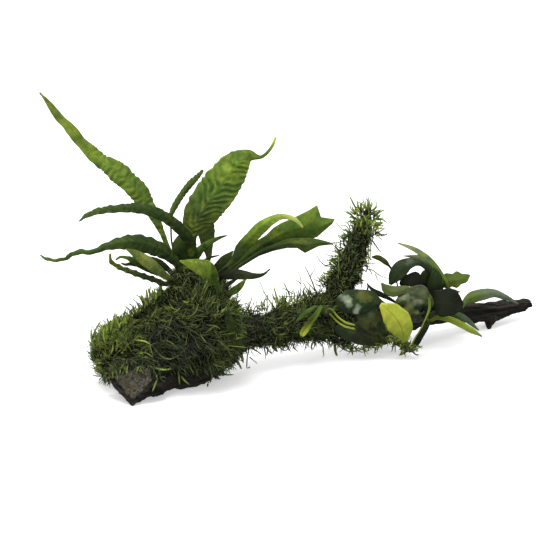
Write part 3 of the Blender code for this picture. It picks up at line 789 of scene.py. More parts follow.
# %% [markdown]
# ## Leaves
# A leaf is one closed sheet, thin at its edges and thick along its midrib, that becomes a
# round stalk below the blade. It is built on a grid: rows along the midrib, columns from
# one edge to the other. Small moves of the grid give what makes a leaf look alive: a fold
# along the midrib, ribs that run out to the edge, a wavy margin and a crumpled surface.
# Sculpting each of forty leaves would take far longer, and a flat card has no edge.

# %% Leaf stations: across, down, depth and width
# The last three have no solid of their own: a lobe, a thin stalk and a half hidden blade
LEAVES = runs("""
fern_leaf_tall_left 183 275 15 2.4|175 260 16 3|167 245 17 4.5|161 230 18 6.5|154 216 20 10|
144 199 23 17|128 181 28 20.5|112 168 34 18.5|94 155 42 13|70 129 54 10|55 112 64 7.5|40 92 75 1
fern_leaf_upper_arch 191 275 7 4|193 256 1 9|190 242 -4 11|181 230 -11 11|163 216 -20 11|
140 208.5 -30 10.5|120 208.5 -39 8.2|100 211 -47 6.8|88 215 -53 5|79 221 -58 1
fern_leaf_lower_arch 181 276 7 2.4|177 264 3 8|167 254 -1 13|153 247 -6 16.5|139 243 -12 17|
122 243 -18 13|105 247 -22 7.5|92 252 -24 5|79 252 -24 5|60 260 -20 3.5|47 259 -16 3|40 255 -12 1
fern_leaf_pale_small 174 279 4 2.4|167 277 -7 6|158 270 -15 10|147 262 -23 11.5|137 255 -30 8.5|
126 249 -36 1
fern_leaf_low_wavy 172 281 5 2.4|165 284 -8 5|155 280 -17 6|140 275 -27 6|129 271 -34 5.5|
119 267 -41 5|111 261 -46 4|110 254 -49 1.5
fern_leaf_small_behind 177 278 14 2.4|170 271 21 5|160 263 24 7|146 256 26 1
fern_leaf_forked 175 280 10 2.4|162 275 8 5|150 269 7 8|141 264 6 9|133 260.5 5 7|126 257.5 4 3.5|
120 257 4 2.5|115.5 260 4 1.2
fern_leaf_slim_upright 187 275 16 2.4|176 258 24 2|172 244 27 1.8|171 229 29 1.8|171 215 32 4.5|
176 204 36 6.5|183 193 40 6.5|191 183 44 7|198 176 48 5|203 170 52 2.5
fern_leaf_young 189 276 14 5|184 258 20 15|181 247 20 19|181 239 20 11|182 233 20 1
fern_leaf_broad_ribbed 196 275 12 4|195.5 257 13 4.5|193 244 12 6|191.5 235 11.5 14|196 222 11 29|
205 207 12 36|217.5 190 15 38|228 175.5 19 35|238 163 24 27|249 156 28 13|261 157 31 3.5|
271 148 34 3|276 137 37 1
fern_leaf_dark_upright 207 277 15 3|208.5 263 19 3.6|208.5 253 22 7.5|207 243 24 13|
206.5 232 26 17|206 220 29 15|206 205 32 9|207 195 34 1
fern_leaf_small_right 199 276 11 2|194.5 263 9 6|197.5 253.5 8.5 8.5|203 247 8 7|
211.5 241.5 7 5.2|220 237.5 6 3|227 235.5 5 0.8
fern_stalk_thin 198 276 7 1.5|200 263 1 1.5|210 257.5 -1 2|219 255.5 -2 0.8
fern_leaf_folded_front 221 287 3 2.4|220 291 -8 3|216.5 283.5 -13 6|212.5 275.5 -18 12|
206 269 -23 17.5|198 266 -30 14.5|189 263.5 -37 8.5|180 261 -42 1
fern_leaf_curled_right 216 282 4 2.4|222 276 -5 8|232 274 -8 11|243 275 -12 9.5|254 276 -16 6|
263 274.5 -20 3|270 269 -24 0.8
fern_leaf_low_dark 220 286 7 2|225 286 10 4|230 283 10 4.5|237 279 10 0.8
fern_leaf_low_green 223 289 5 2.4|228 293 0 5|235 290 0 8|241 285 1 6|246 278.5 2 1
fern_leaf_short_dark 213 280 8 2.4|219 270 8 14|225 261 8 12|233 251 8 1
fern_leaf_arching_right 210 279 5 2.4|222 270 1 3|233 261 -1 6|241 249 -5 12|252 237 -11 13|
262 227 -18 12|273 220 -25 9|284 216.5 -31 5|294 219 -36 4.5|303 228 -41 1.5
anubias_leaf_glossy_front 372 328 91 2.4|388 315 80 2.4|384 304 68 4|377 302.5 64 13|
369 301 62 22|357 302 61 26|346 301 60 23|339 300 60 13|336 299 60 3
anubias_leaf_dark_left 385 332 93 2.4|385 333 81 4|376 326 72 20|369 318 68 24|362 310 67 16|
357 305 67 3
anubias_leaf_dark_low 393 337 96 2.4|388 341 88 5|374 338 81 18|360 334 77 22|348 331 75 20|
339 329 73 12|334 328 72 3
anubias_leaf_lime 402 346 84 2.4|403 340 74 8|403 333 69 19.5|399 323 65 27|392.5 314.5 62 24|
386.5 309 60 16|380.5 304.5 58 4
anubias_leaf_strap 411 349 81 2.4|416 343 82 7|421 334 84 7.5|427 326 88 5|430 321 90 1
anubias_leaf_mottled 422 317 120 2.4|427 311 104 5|427 303 97 17|420 300 93 30|411 301 91 31|
403 303 90 22|397 305 90 9|395 306 90 2
anubias_leaf_black 432 313 126 2.4|429 303 108 8|436 301.5 101 24|446 302.5 98 30|455 304 98 25|
463 306 99 6
anubias_leaf_dark_neck 434 312 127 4|434 296 112 12|434.5 286 108 15|435.5 276 107 12|
433 267 107 1
anubias_leaf_pale_tip_up 446 310 134 2.4|449 296 121 2.4|446 282 115 4|441 274 113 5|
434 265 112 6|425.5 256.5 112 6|414.5 249.5 112 5|405 245.5 113 3|398 243 114 1
anubias_leaf_hooked 428 314 124 2.4|434 294 121 2.2|430 274 116 3.5|419 263 112 6|
409 263.5 108 12|400.5 269 104 17|395 276 101 14|390 284.5 99 3
anubias_leaf_grey_behind 431 314 128 2.4|437 290 130 2.4|433 274 126 6|427 264 124 10|
418 258 124 7|411 256.5 124 3|404 256 124 0.8
anubias_leaf_shaded 420 317 120 3|424 297 117 5|421 283 112 11|414 280 110 16|406 281 108 13|
400 285 107 2
anubias_leaf_small_shaded 424 316 122 3|428 298 124 6|424 284 121 10|426 275 121 11|431 268 121 1
anubias_leaf_green_right 443 311 134 2.4|442 296 126 3|440 286 122 9|447 281.5 121 15|
456 279.5 121 15.5|464 278 121 10.5|470 275.5 122 1.5
anubias_leaf_tiny_right 449 310 137 2.2|447 296 131 3|452 291.5 130 5|460 292 130 0.8
anubias_leaf_long_grey 455 309 140 2.4|462 308 144 2.4|466 301 149 7|473 297 151 12.5|
483 294.5 152 12|495 293.5 153 8.5|505 297 154 6|513 301 155 3|519 304 156 0.8
anubias_leaf_lime_low 424 316 121 2.4|429 321 113 2.4|437 317.5 110 5|448 319 110 6.5|
460 324 111 7|471 330 112 6|482 336.5 113 1
anubias_leaf_grey_low 446 311 134 2.4|452 313.5 122 5|461 316.5 119 7|470 322.5 119 5|
479 330.5 119 0.8
anubias_leaf_pale_left 412 318 114 2.4|413 301 104 2.4|408 289 97 6|401 290 94 9|
393 291.5 92 11.5|386.5 289 91 10|381.5 283 91 1.5
anubias_leaf_dark_point 410 318 113 2.2|398 304 105 2.4|388 298 99 4|380 294 96 5.5|373 290 95 4|
367 284 95 0.8
anubias_leaf_by_fork 414 318 118 1.6|401 300 115 1.6|396 280 114 1.6|390 267 110 2|
384.5 261.5 107 5.5|378 257.5 106 5.5|371.5 257 106 1
anubias_leaf_tongue 324 311 65 2.4|321 307 54 4|316 315 49 5.5|310 323 47 6.5|305 330 46 7.5|
302.5 334 45 6.5|302 336.5 44 3
anubias_leaf_short_tongue 322 310 65 2.2|316 307 58 3.5|309 311 52 5.2|302 316 49 4.5|
296 321 48 0.8
anubias_stem_upper 326 311 65 1.8|331 309 57 1.8|338 317 57 1.8|347 323 61 1.8|355 325 66 1.2
anubias_stem_lower 329 313 67 1.8|331 315 58 1.8|336 320.5 58 1.8|344 326 62 1.8|355 329 67 1.2
fork_lobe 142 266 6 3|136 264.5 5.5 4.5|130 264 5 3.5|125 264.5 5 2.5|121 263 5 1
bright_stalk 411 346 79 1.7|414.5 339 80 1.6|420 330 81 1.5|425.5 319 83 1.5|429.5 308 86 2.6|
429.5 303 87 3|429 298 88 1.2
blade_in_moss 226 311 -13 3|228.5 319 -16 8|232 328 -16 11.5|235.5 338 -12 10.5|238.5 346 -5 6.5|
241 353 2 1
""", 4)

# %% [markdown]
# The two lobed leaves at the fern's right are drawn by their two edges instead, because
# their outline has corners.

# %% Lobed leaves: a place of the upper edge and one of the lower edge
LOBED = runs("""
fern_leaf_upper_lobed 210 278 210 283|226 268.5 227 274|236 260 239 267|247 250 251 259|
258 240 262 252|266 235 272 248|273 228 279 245|281 223 287 242|295 217 295 241|309 210 303 240.5|
317 205 310 239.5|321 217 317 237|335 219 332 224
fern_leaf_lower_lobed 214 280 214 282.5|228 272 229 275|241 262.5 244 265|262 249 259 256|
274 244 273 251|287 239 287 248|297 238 297 248|305 238 305 253|312 238 313 249|318 239 319 246|
326 241 327 245|334 243.5 333 244.5
""", 4)
# Depth at the stalk and at the tip
LOBED_DEPTHS = {"fern_leaf_upper_lobed": (14, 60), "fern_leaf_lower_lobed": (10, 42)}

# %% [markdown]
# A leaf's look is a few numbers, in millimetres or as a share of its width. The ribs'
# height and spacing make the strong corrugation of a mature fern leaf; an oval leaf keeps
# only a trace of it.

# %% How a leaf looks
# Of these, the halves, the rib colour strength, the sheen amount and the patches are painted light
# and shade on the leaf, not its own colour.
PLAIN = dict(
    step=2.2, columns=15, thick=0.6, fold=0.10, cup=0.0, roll=(0.0, 0.0),
    rib_gap=8.0, rib_height=0.3, rib_slant=0.9, rib_edge=0.45, rib_stray=0.3, rib_end=1.1,
    rib_sides=(1.0, 1.0), rib_tone=1.0, wave=28.0,
    wave_height=0.5, notch=0.0, scallop=0.0, crumple=0.0, crumple_size=12.0,
    halves=(1.0, 1.0), bloom=0.0, patches="")
STALK_HALF_WIDTH = 1.3
BLADE_HALF_WIDTH = 3.4
MIDRIB_WIDTH = 0.9
MIDRIB_GROOVE = 0.35


def leaf_columns(count):
    even = np.linspace(-1.0, 1.0, count)
    return np.sign(even) * np.abs(even) ** 1.25


def leaf_sides(path, half, roll):
    """Across and facing directions of every row, turned by the roll about the midrib."""
    ahead = unit(np.gradient(path, axis=0))
    sides = np.empty_like(path)
    side = None
    for i in range(len(path) - 1, -1, -1):
        facing = np.cross(ahead[i], -SIGHT)
        if side is not None:
            facing = facing + side * (1.0 - np.linalg.norm(facing))
        side = unit(facing - ahead[i] * facing.dot(ahead[i]))
        sides[i] = side
    faces = np.cross(sides, ahead)
    turn = np.radians(np.linspace(*roll, len(path)))[:, None]
    turned = sides * np.cos(turn) - faces * np.sin(turn)
    return turned, np.cross(turned, ahead), half / np.cos(turn[:, 0])


def uneven_ribs(look, places, travelled, across, phase):
    """Ribs from -1 to 1 that sweep to the tip, with uneven gaps, lengths and strength."""
    stray = lumps(places, look["rib_gap"] * 1.7 * MM) * look["rib_stray"]
    gap = look["rib_gap"] * np.where(across < 0, *look["rib_sides"])
    cycles = (travelled - look["rib_slant"] * np.abs(across)) / gap + stray
    strength = np.clip(0.70 + 1.1 * lumps(places + 0.5, 0.011), 0.1, 1.3)
    return np.sin(2 * math.pi * cycles + phase + (across > 0) * 2.2) * strength


def shaped_leaf(look, seed, path, half, blade, side, face, travelled):
    """The grid of a leaf's middle surface and its rib pattern."""
    v = leaf_columns(look["columns"])
    chance = np.random.default_rng(seed)
    phases = chance.uniform(0, 2 * math.pi, 4)
    distance = np.abs(v)
    across = v * half[:, None]
    flat = path[:, None] + side[:, None] * across[..., None] + seed
    ribs = uneven_ribs(look, flat, travelled[:, None], across / MM, phases[0])
    fading = smoothstep(travelled / travelled[-1], look["rib_end"] - 0.1, look["rib_end"])
    ribs = ribs * (1 - fading)[:, None]
    between = smoothstep(distance, 0.03, 0.2)
    between = between * (1 - (1 - look["rib_edge"]) * smoothstep(distance, 0.55, 1.0))
    margin = np.where(v > 0, phases[2], phases[3])
    wave = np.sin(2 * math.pi * travelled[:, None] / look["wave"] + margin)
    rise = ribs * between * look["rib_height"]
    rise = rise + wave * distance**2 * look["wave_height"]
    rise = rise - np.exp(-((v * half[:, None] / MM / MIDRIB_WIDTH) ** 2)) * MIDRIB_GROOVE
    rise = rise * blade[:, None] * MM
    width = 2 * half[:, None]
    rise = rise + width * (look["fold"] * (1 - distance) + look["cup"] * (1 - v**2))
    swell = look["scallop"] * np.sin(2 * math.pi * travelled[:, None] / look["wave"] + margin + 1.0)
    edge = look["notch"] * ribs * distance**3 + swell * distance**2
    out = across * (1 + edge * blade[:, None])
    grid = path[:, None] + side[:, None] * out[..., None] + face[:, None] * rise[..., None]
    if look["crumple"]:
        bend = lumps(grid + seed, look["crumple_size"] * MM, 2) * look["crumple"] * MM
        grid = grid + face[:, None] * (bend * blade[:, None])[..., None]
    return grid, ribs * between * blade[:, None], v


def leaf_thickness(look, half, blade, v):
    """Half the thickness: round on the stalk, thin at the edge, thicker at the midrib."""
    across = v * half[:, None]
    round_stalk = half[:, None] * np.sqrt(np.clip(1 - v**2, 0.0, 1.0)) + 0.05 * MM
    rib = 0.45 * np.exp(-((across / MM / 1.3) ** 2)) * np.linspace(1.0, 0.3, len(half))[:, None]
    sheet = (look["thick"] / 2 * (1 - 0.35 * np.abs(v)) + rib) * MM
    share = blade[:, None]
    return round_stalk * (1 - share) + sheet * share


def leaf_tones(look, share, v, tones):
    """The colour of every point, from the stalk's tone over the middle's to the tip's."""
    values = linear(tones)
    along = smooth_through([0.0, 0.25, 0.62, 1.0], values[[0, 0, 1, 2]], share, limited=True)
    # The halves' factors paint one half of the blade lighter and the other darker: painted light
    # and shade where the light falls across the leaf.
    minus, plus = look["halves"]
    lit = np.where(v < 0, minus, plus) ** smoothstep(np.abs(v), 0.0, 0.15)
    return along[:, None] * lit[None, :, None]


def with_painted_light(tones, grid, patches):
    """Tones with soft patches of painted light: across and down on the drawing, two radii and a
    colour; pale ones painted highlights and reflections, dark ones painted shade.
    """
    across, down = on_sheet(grid)
    ragged = lumps(grid, 0.0035, 2) * 0.5
    for x, y, wide, high, *colour in entries(patches):
        away = np.hypot((across - x) / wide, (down - y) / high) + ragged
        share = (1 - smoothstep(away, 0.45, 1.25))[..., None]
        tones = tones * (1 - share) + linear(colour) * share
    return tones


# %% [markdown]
# Two copies of the grid, moved apart by the thickness, are the leaf's upper and lower
# skin. Four strips close the rim, so the piece is a solid sheet.

# %% From a grid to a closed sheet


def sheet_faces(rows, columns):
    upper = np.arange(rows * columns).reshape(rows, columns)
    lower = upper + rows * columns
    quads = [(upper[:-1, :-1], upper[1:, :-1], upper[1:, 1:], upper[:-1, 1:]),
             (lower[:-1, :-1], lower[:-1, 1:], lower[1:, 1:], lower[1:, :-1]),
             (upper[:-1, 0], lower[:-1, 0], lower[1:, 0], upper[1:, 0]),
             (upper[:-1, -1], upper[1:, -1], lower[1:, -1], lower[:-1, -1]),
             (upper[0, :-1], upper[0, 1:], lower[0, 1:], lower[0, :-1]),
             (upper[-1, :-1], lower[-1, :-1], lower[-1, 1:], upper[-1, 1:])]
    faces = []
    for quad in quads:
        faces += list(zip(*[corner.ravel().tolist() for corner in quad]))
    return faces


def closed_sheet(name, look, grid, half, blade, ribs, tones, share, v):
    """The leaf's mesh: share runs from the stalk to the tip, v from edge to edge."""
    thickness = leaf_thickness(look, half, blade, v)
    # The tones take painted light here: lighter and darker halves, and patches of painted
    # highlight, reflection and shade.
    tones = with_painted_light(leaf_tones(look, share, v, tones), grid, look["patches"])
    ribs = ribs * look["rib_tone"]
    along = np.gradient(grid, axis=0)
    across = np.gradient(grid, axis=1)
    normal = unit(np.cross(along, across))
    rows, columns = grid.shape[:2]
    move = normal * thickness[..., None]
    points = np.concatenate([(grid + move).reshape(-1, 3), (grid - move).reshape(-1, 3)])
    ribs = np.concatenate([ribs.ravel(), -ribs.ravel()])
    tones = np.concatenate([tones.reshape(-1, 3)] * 2)
    uv = np.stack(np.broadcast_arrays(share[:, None], (v[None] + 1) / 2), -1).reshape(-1, 2)
    # The rib attribute carries the ribs' painted highlight and shade for the finish, the sheen
    # amount the painted sheen.
    floats = {"rib": ribs, "bloom": np.full(len(points), look["bloom"])}
    return mesh_from(name, points, sheet_faces(rows, columns), floats, None, tones,
                     np.concatenate([uv, uv]))


def leaf_mesh(name, stations, tones, seed, **changes):
    look = {**PLAIN, **changes}
    stations = np.asarray(stations, float)
    centres = seen(*stations[:, :3].T)
    knots = travelled_along(centres)
    rows = max(int(knots[-1] / MM / look["step"]), 14)
    at = np.linspace(0, knots[-1], rows)
    path = smooth_through(knots, centres, at)
    half = smooth_through(knots, stations[:, 3] * MM / 2, at, limited=True)[:, 0]
    half = np.maximum(half, 0.3 * MM)
    blade = smoothstep(half / MM, STALK_HALF_WIDTH, BLADE_HALF_WIDTH)
    blade = np.maximum(blade, smoothstep(at / knots[-1], 0.55, 0.75))
    side, face, half = leaf_sides(path, half, look["roll"])
    grid, ribs, v = shaped_leaf(look, seed, path, half, blade, side, face, at / MM)
    return closed_sheet(name, look, grid, half, blade, ribs, tones, at / knots[-1], v)


# %% [markdown]
# ## Leaf finishes
# A fern leaf's colour comes from its own tone, with a painted highlight on the crests of its
# ribs and painted shade in the furrows, and a net of fine veins. The oval leaves are waxy:
# the same idea with a clear coat, fainter ribs and patches of painted sheen.

# %% Leaf finishes
# The pale grey-green of the painted sheen: the light reflected by a waxy leaf.
PAINTED_SHEEN = (136, 148, 118)


def leaf_finish(name, crest_highlight, furrow_shade_and_vein, rib_shading_strength, net_scale, midrib, blotches=1.0, **fixed):
    """Factors on the tone: a painted highlight on the ribs' crests, painted shade in their furrows,
    also used for the veins, and the midrib's, with its strength.
    """
    f = Finish(name, **fixed)
    tone = f.attribute("tone", "Color")
    broad = f.span(f.noise(42.0, 2.0), 0.38, 0.62, 0.5 - 0.5 * blotches, 0.5 + 0.5 * blotches)
    tone = f.mix(broad, f.scaled(tone, (0.80, 0.84, 0.92)), f.scaled(tone, (1.22, 1.14, 1.02)))
    grain = f.noise(170.0, 5.0, rough=0.6)
    # Painted light: the ribs' crests lighter and their furrows darker, mixed with noise for the
    # leaf's own uneven tone.
    rib = f.math("MULTIPLY", f.attribute("rib"), rib_shading_strength)
    level = f.math("ADD", f.math("MULTIPLY", grain, 1.5), rib)
    level = f.math("SUBTRACT", level, 0.25, clamp=True)
    colour = f.mix(level, f.scaled(tone, furrow_shade_and_vein), f.scaled(tone, crest_highlight))
    net = f.span(f.cell_edges(net_scale), 0.0, 0.07, 1.0, 0.0)
    colour = f.mix(f.math("MULTIPLY", net, 0.22), colour, f.scaled(tone, furrow_shade_and_vein))
    place = f.add("ShaderNodeUVMap", uv_map="leaf").outputs[0]
    across = f.add("ShaderNodeSeparateXYZ", {"Vector": place}).outputs["Y"]
    beside = f.math("ABSOLUTE", f.math("SUBTRACT", across, 0.5))
    line = f.span(beside, 0.012, 0.034, midrib[3], 0.0)
    colour = f.mix(line, colour, f.scaled(tone, midrib[:3]))
    # Painted sheen: pale patches where the leaf's sheen amount and noise are high, for the light
    # reflected by the leaf.
    patches = f.math("ADD", f.attribute("bloom"), f.noise(80.0, 4.0, rough=0.6))
    colour = f.mix(f.span(patches, 0.78, 0.98, 0.0, 0.8), colour, PAINTED_SHEEN)
    f.colour(colour)
    f.set(f.shader, {"Roughness": f.span(grain, 0.3, 0.7, 0.40, 0.60)})
    f.bump(f.math("ADD", grain, f.math("MULTIPLY", net, -0.25)), 0.0006, 0.7)
    return f.material


FERN = leaf_finish(
    "fern_leaf", (1.60, 1.36, 1.10), (0.50, 0.64, 0.58), 0.48, 230.0, (0.66, 0.74, 0.64, 0.6),
    **{"Specular IOR Level": 0.07})
OVAL = leaf_finish(
    "oval_leaf", (1.30, 1.22, 1.15), (0.70, 0.76, 0.78), 0.14, 420.0, (1.6, 1.5, 1.4, 0.5),
    **{"Specular IOR Level": 0.12, "Coat Weight": 0.03, "Coat Roughness": 0.15})
LIME_OVAL = leaf_finish(
    "lime_leaf", (1.16, 1.12, 1.10), (0.78, 0.82, 0.80), 0.14, 420.0, (0.50, 0.55, 0.50, 0.8),
    0.35, **{"Specular IOR Level": 0.08})

# %% [markdown]
# ## Tones
# Greens are named by what they look like in the hand, except the two greys, which are
# painted sheen. A leaf takes three of them: one at the stalk, one in the middle of the blade
# and one at the tip.

# %% Green tones


def toned(stalk, middle, tip, **changes):
    """A leaf's three tones, and what sets it apart from a plain leaf."""
    return (stalk, middle, tip), changes


INKY = (30, 35, 25)
DEEP = (46, 58, 32)
DARK = (58, 74, 35)
BOTTLE = (44, 58, 36)
MIDDLE = (76, 98, 40)
OLIVE = (86, 92, 42)
FRESH = (96, 120, 44)
YELLOW = (124, 140, 48)
LIME = (214, 230, 88)
# The two greys are painted sheen: the light reflected by a waxy leaf.
SHEEN_GREY = (84, 98, 74)
SHEEN_STEEL = (110, 122, 88)

# %% [markdown]
# ## The fern
# Long leaves with strong cross ribs. Leaves that arch away to the side show their upper
# face to the sky, so they are rolled about their midrib.

# %% Fern leaves
FERN_LOOKS = {
    "fern_leaf_tall_left": toned(
        (84, 106, 46), (90, 114, 43), (100, 114, 42), step=1.2, columns=21, rib_gap=6.4,
        rib_height=0.6, rib_slant=0.3, rib_edge=0.6, rib_stray=1.1, rib_tone=0.75, rib_end=0.72,
        notch=0.06, wave=31, wave_height=1.3, scallop=0.07, crumple=1.2, crumple_size=8,
        roll=(5, 25), halves=(1.1, 0.95), cup=0.04),
    "fern_leaf_upper_arch": toned(
        (46, 60, 32), (54, 73, 34), (58, 79, 36), step=1.2, columns=19, rib_gap=6.0,
        rib_height=0.35, rib_slant=0.5, rib_stray=0.7, rib_tone=0.5, roll=(10, 36), notch=0.05,
        rib_edge=0.9, wave=13, wave_height=0.7, scallop=0.05, crumple=0.5, crumple_size=6,
        halves=(0.9, 1.0), patches="191 252 3.5 5 82 100 46"),
    "fern_leaf_lower_arch": toned(
        (50, 68, 36), (61, 84, 40), (76, 98, 44), step=1.2, columns=19, rib_gap=6.5,
        rib_height=0.35, rib_slant=0.6, rib_stray=0.7, rib_tone=0.5, roll=(10, 34), notch=0.04,
        wave=12, wave_height=0.9, scallop=0.05, crumple=0.5, crumple_size=6, halves=(0.8, 1.1)),
    "fern_leaf_pale_small": toned(
        (90, 108, 50), (124, 138, 74), (96, 116, 56), rib_gap=5, rib_height=0.25, roll=(15, 25),
        bloom=0.2),
    "fern_leaf_low_wavy": toned(
        (56, 68, 38), (72, 90, 46), (130, 150, 60), step=1.2, wave=11, wave_height=1.8,
        scallop=0.2, rib_gap=5, rib_height=0.3),
    "fern_leaf_small_behind": toned(INKY, DEEP, DARK, rib_gap=5),
    "fern_leaf_slim_upright": toned(
        DARK, (76, 94, 44), (82, 100, 46), step=1.6, rib_gap=5, rib_height=0.45, notch=0.12,
        fold=0.2),
    "fern_leaf_young": toned(DEEP, (54, 72, 38), (64, 84, 40), rib_gap=5, fold=0.16),
    "fern_leaf_broad_ribbed": toned(
        (78, 94, 50), (102, 129, 54), (112, 136, 54), step=1.0, columns=33, rib_gap=7.6,
        rib_height=1.6, rib_slant=0.8, rib_edge=0.35, rib_stray=0.8, rib_tone=1.0, rib_end=0.8,
        rib_sides=(1.35, 0.95), notch=0.05, wave=46, wave_height=1.2, cup=0.03, roll=(0, 12),
        crumple=0.5, crumple_size=4,
        patches="241 154 16 5.5 92 118 48|191 226 9 12 104 120 54|275 139 4 6 170 188 66"),
    "fern_leaf_dark_upright": toned(
        (72, 86, 46), (94, 112, 56), (86, 104, 50), step=1.6, rib_tone=0.6, rib_gap=6.5,
        rib_height=0.3, notch=0.04, fold=0.05),
    "fern_leaf_small_right": toned(
        (64, 86, 38), (72, 98, 44), (72, 92, 46), step=1.4, rib_gap=4.5, rib_height=0.5,
        rib_tone=0.8, notch=0.08, patches="194 256 3.5 4 96 116 48|205 246 3 3 46 66 36"),
    "fern_stalk_thin": toned(DEEP, DEEP, DARK),
    "fern_leaf_folded_front": toned(
        (100, 124, 50), (132, 158, 62), (146, 166, 64), step=1.2, columns=19, rib_gap=5.0,
        rib_height=0.25, rib_tone=0.45, fold=0.06, halves=(1.0, 0.95), patches="""
            214 274 4.5 11 74 100 40|219 286 4 8 70 96 38|196 262 1.8 0.9 172 188 104
            201 262 1.3 0.8 168 184 98|205.5 263 1.5 0.9 168 182 96
            191 261.5 1.5 0.7 168 184 98"""),
    "fern_leaf_curled_right": toned(
        INKY, (38, 48, 28), (42, 54, 30), step=1.6, rib_gap=6, rib_height=0.25, rib_tone=0.5,
        roll=(-5, -15)),
    "fern_leaf_low_dark": toned(INKY, DEEP, DEEP),
    "fern_leaf_low_green": toned(DARK, MIDDLE, FRESH, roll=(0, -20)),
    "fern_leaf_short_dark": toned(INKY, DEEP, DARK, rib_gap=6, rib_height=0.4),
    "fern_leaf_arching_right": toned(
        (50, 66, 36), (114, 142, 56), (154, 170, 96), step=1.6, rib_gap=6.5, rib_height=0.2,
        rib_tone=0.3, roll=(-5, -38), fold=0.14, notch=0.02, halves=(1.1, 0.85),
        patches="240 252 8 8 64 82 46|229 264 8 8 56 70 42"),
}


def add_leaf(name, finish, slot, tones, changes, seed):
    mesh = leaf_mesh(name, LEAVES[name], tones, seed, **changes)
    return add_piece(name.replace("leaf", "blade"), mesh, finish, slot, name)


total = 0
for seed, (name, (tones, changes)) in enumerate(FERN_LOOKS.items()):
    total += triangles_of(add_leaf(name, FERN, "fern_leaf", tones, changes, seed).data)
print("fern leaves", len(FERN_LOOKS), "with", total, "triangles")

# %% [markdown]
# One leaf has split at its tip, as java fern leaves do under water. Its second lobe is a
# small blade that grows out of the first.

# %% Forked leaf
forked_look = dict(step=1.6, rib_gap=5, rib_height=0.3, notch=0.06, roll=(10, 25))
forked = joined("fern_blade_forked", [
    leaf_mesh("forked", LEAVES["fern_leaf_forked"], (INKY, DARK, MIDDLE), 31, **forked_look),
    leaf_mesh("lobe", LEAVES["fork_lobe"], (DARK, DARK, MIDDLE), 32, **forked_look)])
add_piece("fern_blade_forked", forked, FERN, "fern_leaf", "fern_leaf_forked")

# %% [markdown]
# The lobed leaves are ruled between their edges, and bulge a little towards the viewer
# along a line between them.

# %% Lobed leaves


def lobed_mesh(name, stations, near, far, tones, seed, **changes):
    look = {**PLAIN, **changes}
    pairs = stations.reshape(-1, 2, 2)[:, ::-1]
    knots = np.arange(len(pairs))
    at = np.linspace(0, len(pairs) - 1, (len(pairs) - 1) * 7 + 1)
    edges = np.stack([
        [np.interp(at, knots, pairs[:, e, c]) for c in (0, 1)] for e in (0, 1)]).transpose(2, 0, 1)
    v = leaf_columns(look["columns"])
    share = ((v + 1) / 2)[None, :, None]
    places = edges[:, None, 0] * (1 - share) + edges[:, None, 1] * share
    start, end = stations[0, 0], stations[-1, 0]
    along = np.clip((places[..., 0] - start) / (end - start), 0, 1)
    grid = seen(places[..., 0], places[..., 1], near + (far - near) * along)
    half = np.linalg.norm(grid[:, -1] - grid[:, 0], axis=1) / 2
    blade = smoothstep(half / MM, STALK_HALF_WIDTH, BLADE_HALF_WIDTH)
    blade = np.maximum(blade, smoothstep(at / at[-1], 0.5, 0.6))
    travelled = travelled_along(grid.mean(axis=1))[:, None] / MM
    ribs = uneven_ribs(look, grid + seed, travelled, v * half[:, None] / MM, seed)
    ribs = ribs * blade[:, None] * smoothstep(np.abs(v), 0.03, 0.2)
    rise = 2 * half[:, None] * (look["fold"] * (1 - np.abs(v)) + look["cup"] * (1 - v**2))
    rise = rise + ribs * look["rib_height"] * MM * np.sin(math.pi * np.abs(v))
    rise = rise + lumps(grid, look["wave"] * MM) * look["wave_height"] * MM * blade[:, None]
    grid = grid - SIGHT * rise[..., None]
    return closed_sheet(name, look, grid, half, blade, ribs, tones, at / at[-1], v)


LOBED_LOOKS = {
    "fern_leaf_upper_lobed": toned(
        (64, 86, 42), (90, 118, 50), (112, 142, 62), rib_tone=0.25, columns=21, cup=0.1,
        fold=0.03, rib_gap=9, rib_height=0.15, rib_stray=0.6, wave=24, wave_height=1.0,
        halves=(0.85, 1.0),
        patches="240 248 9 8 72 106 44|272 234 12 4 102 120 50|268 244 16 3.5 58 72 38"),
    "fern_leaf_lower_lobed": toned(
        (50, 66, 38), (74, 94, 50), (86, 110, 52), rib_tone=0.25, columns=17, cup=0.1, fold=0.02,
        rib_gap=9, rib_height=0.12, rib_stray=0.6, wave=20, wave_height=0.8,
        patches="300 242 9 2.5 98 114 56"),
}
for seed, (name, (tones, changes)) in enumerate(LOBED_LOOKS.items()):
    mesh = lobed_mesh(name, LOBED[name], *LOBED_DEPTHS[name], tones, seed + 40, **changes)
    piece = add_piece(name.replace("leaf", "blade"), mesh, FERN, "fern_leaf", name)
    print(piece.name, triangles_of(piece.data), "triangles")

# %% [markdown]
# ## The broad-leaved plant
# Its leaves are oval, waxy and almost flat, on thin stalks. Most are dark; three are lime
# green and catch the eye.

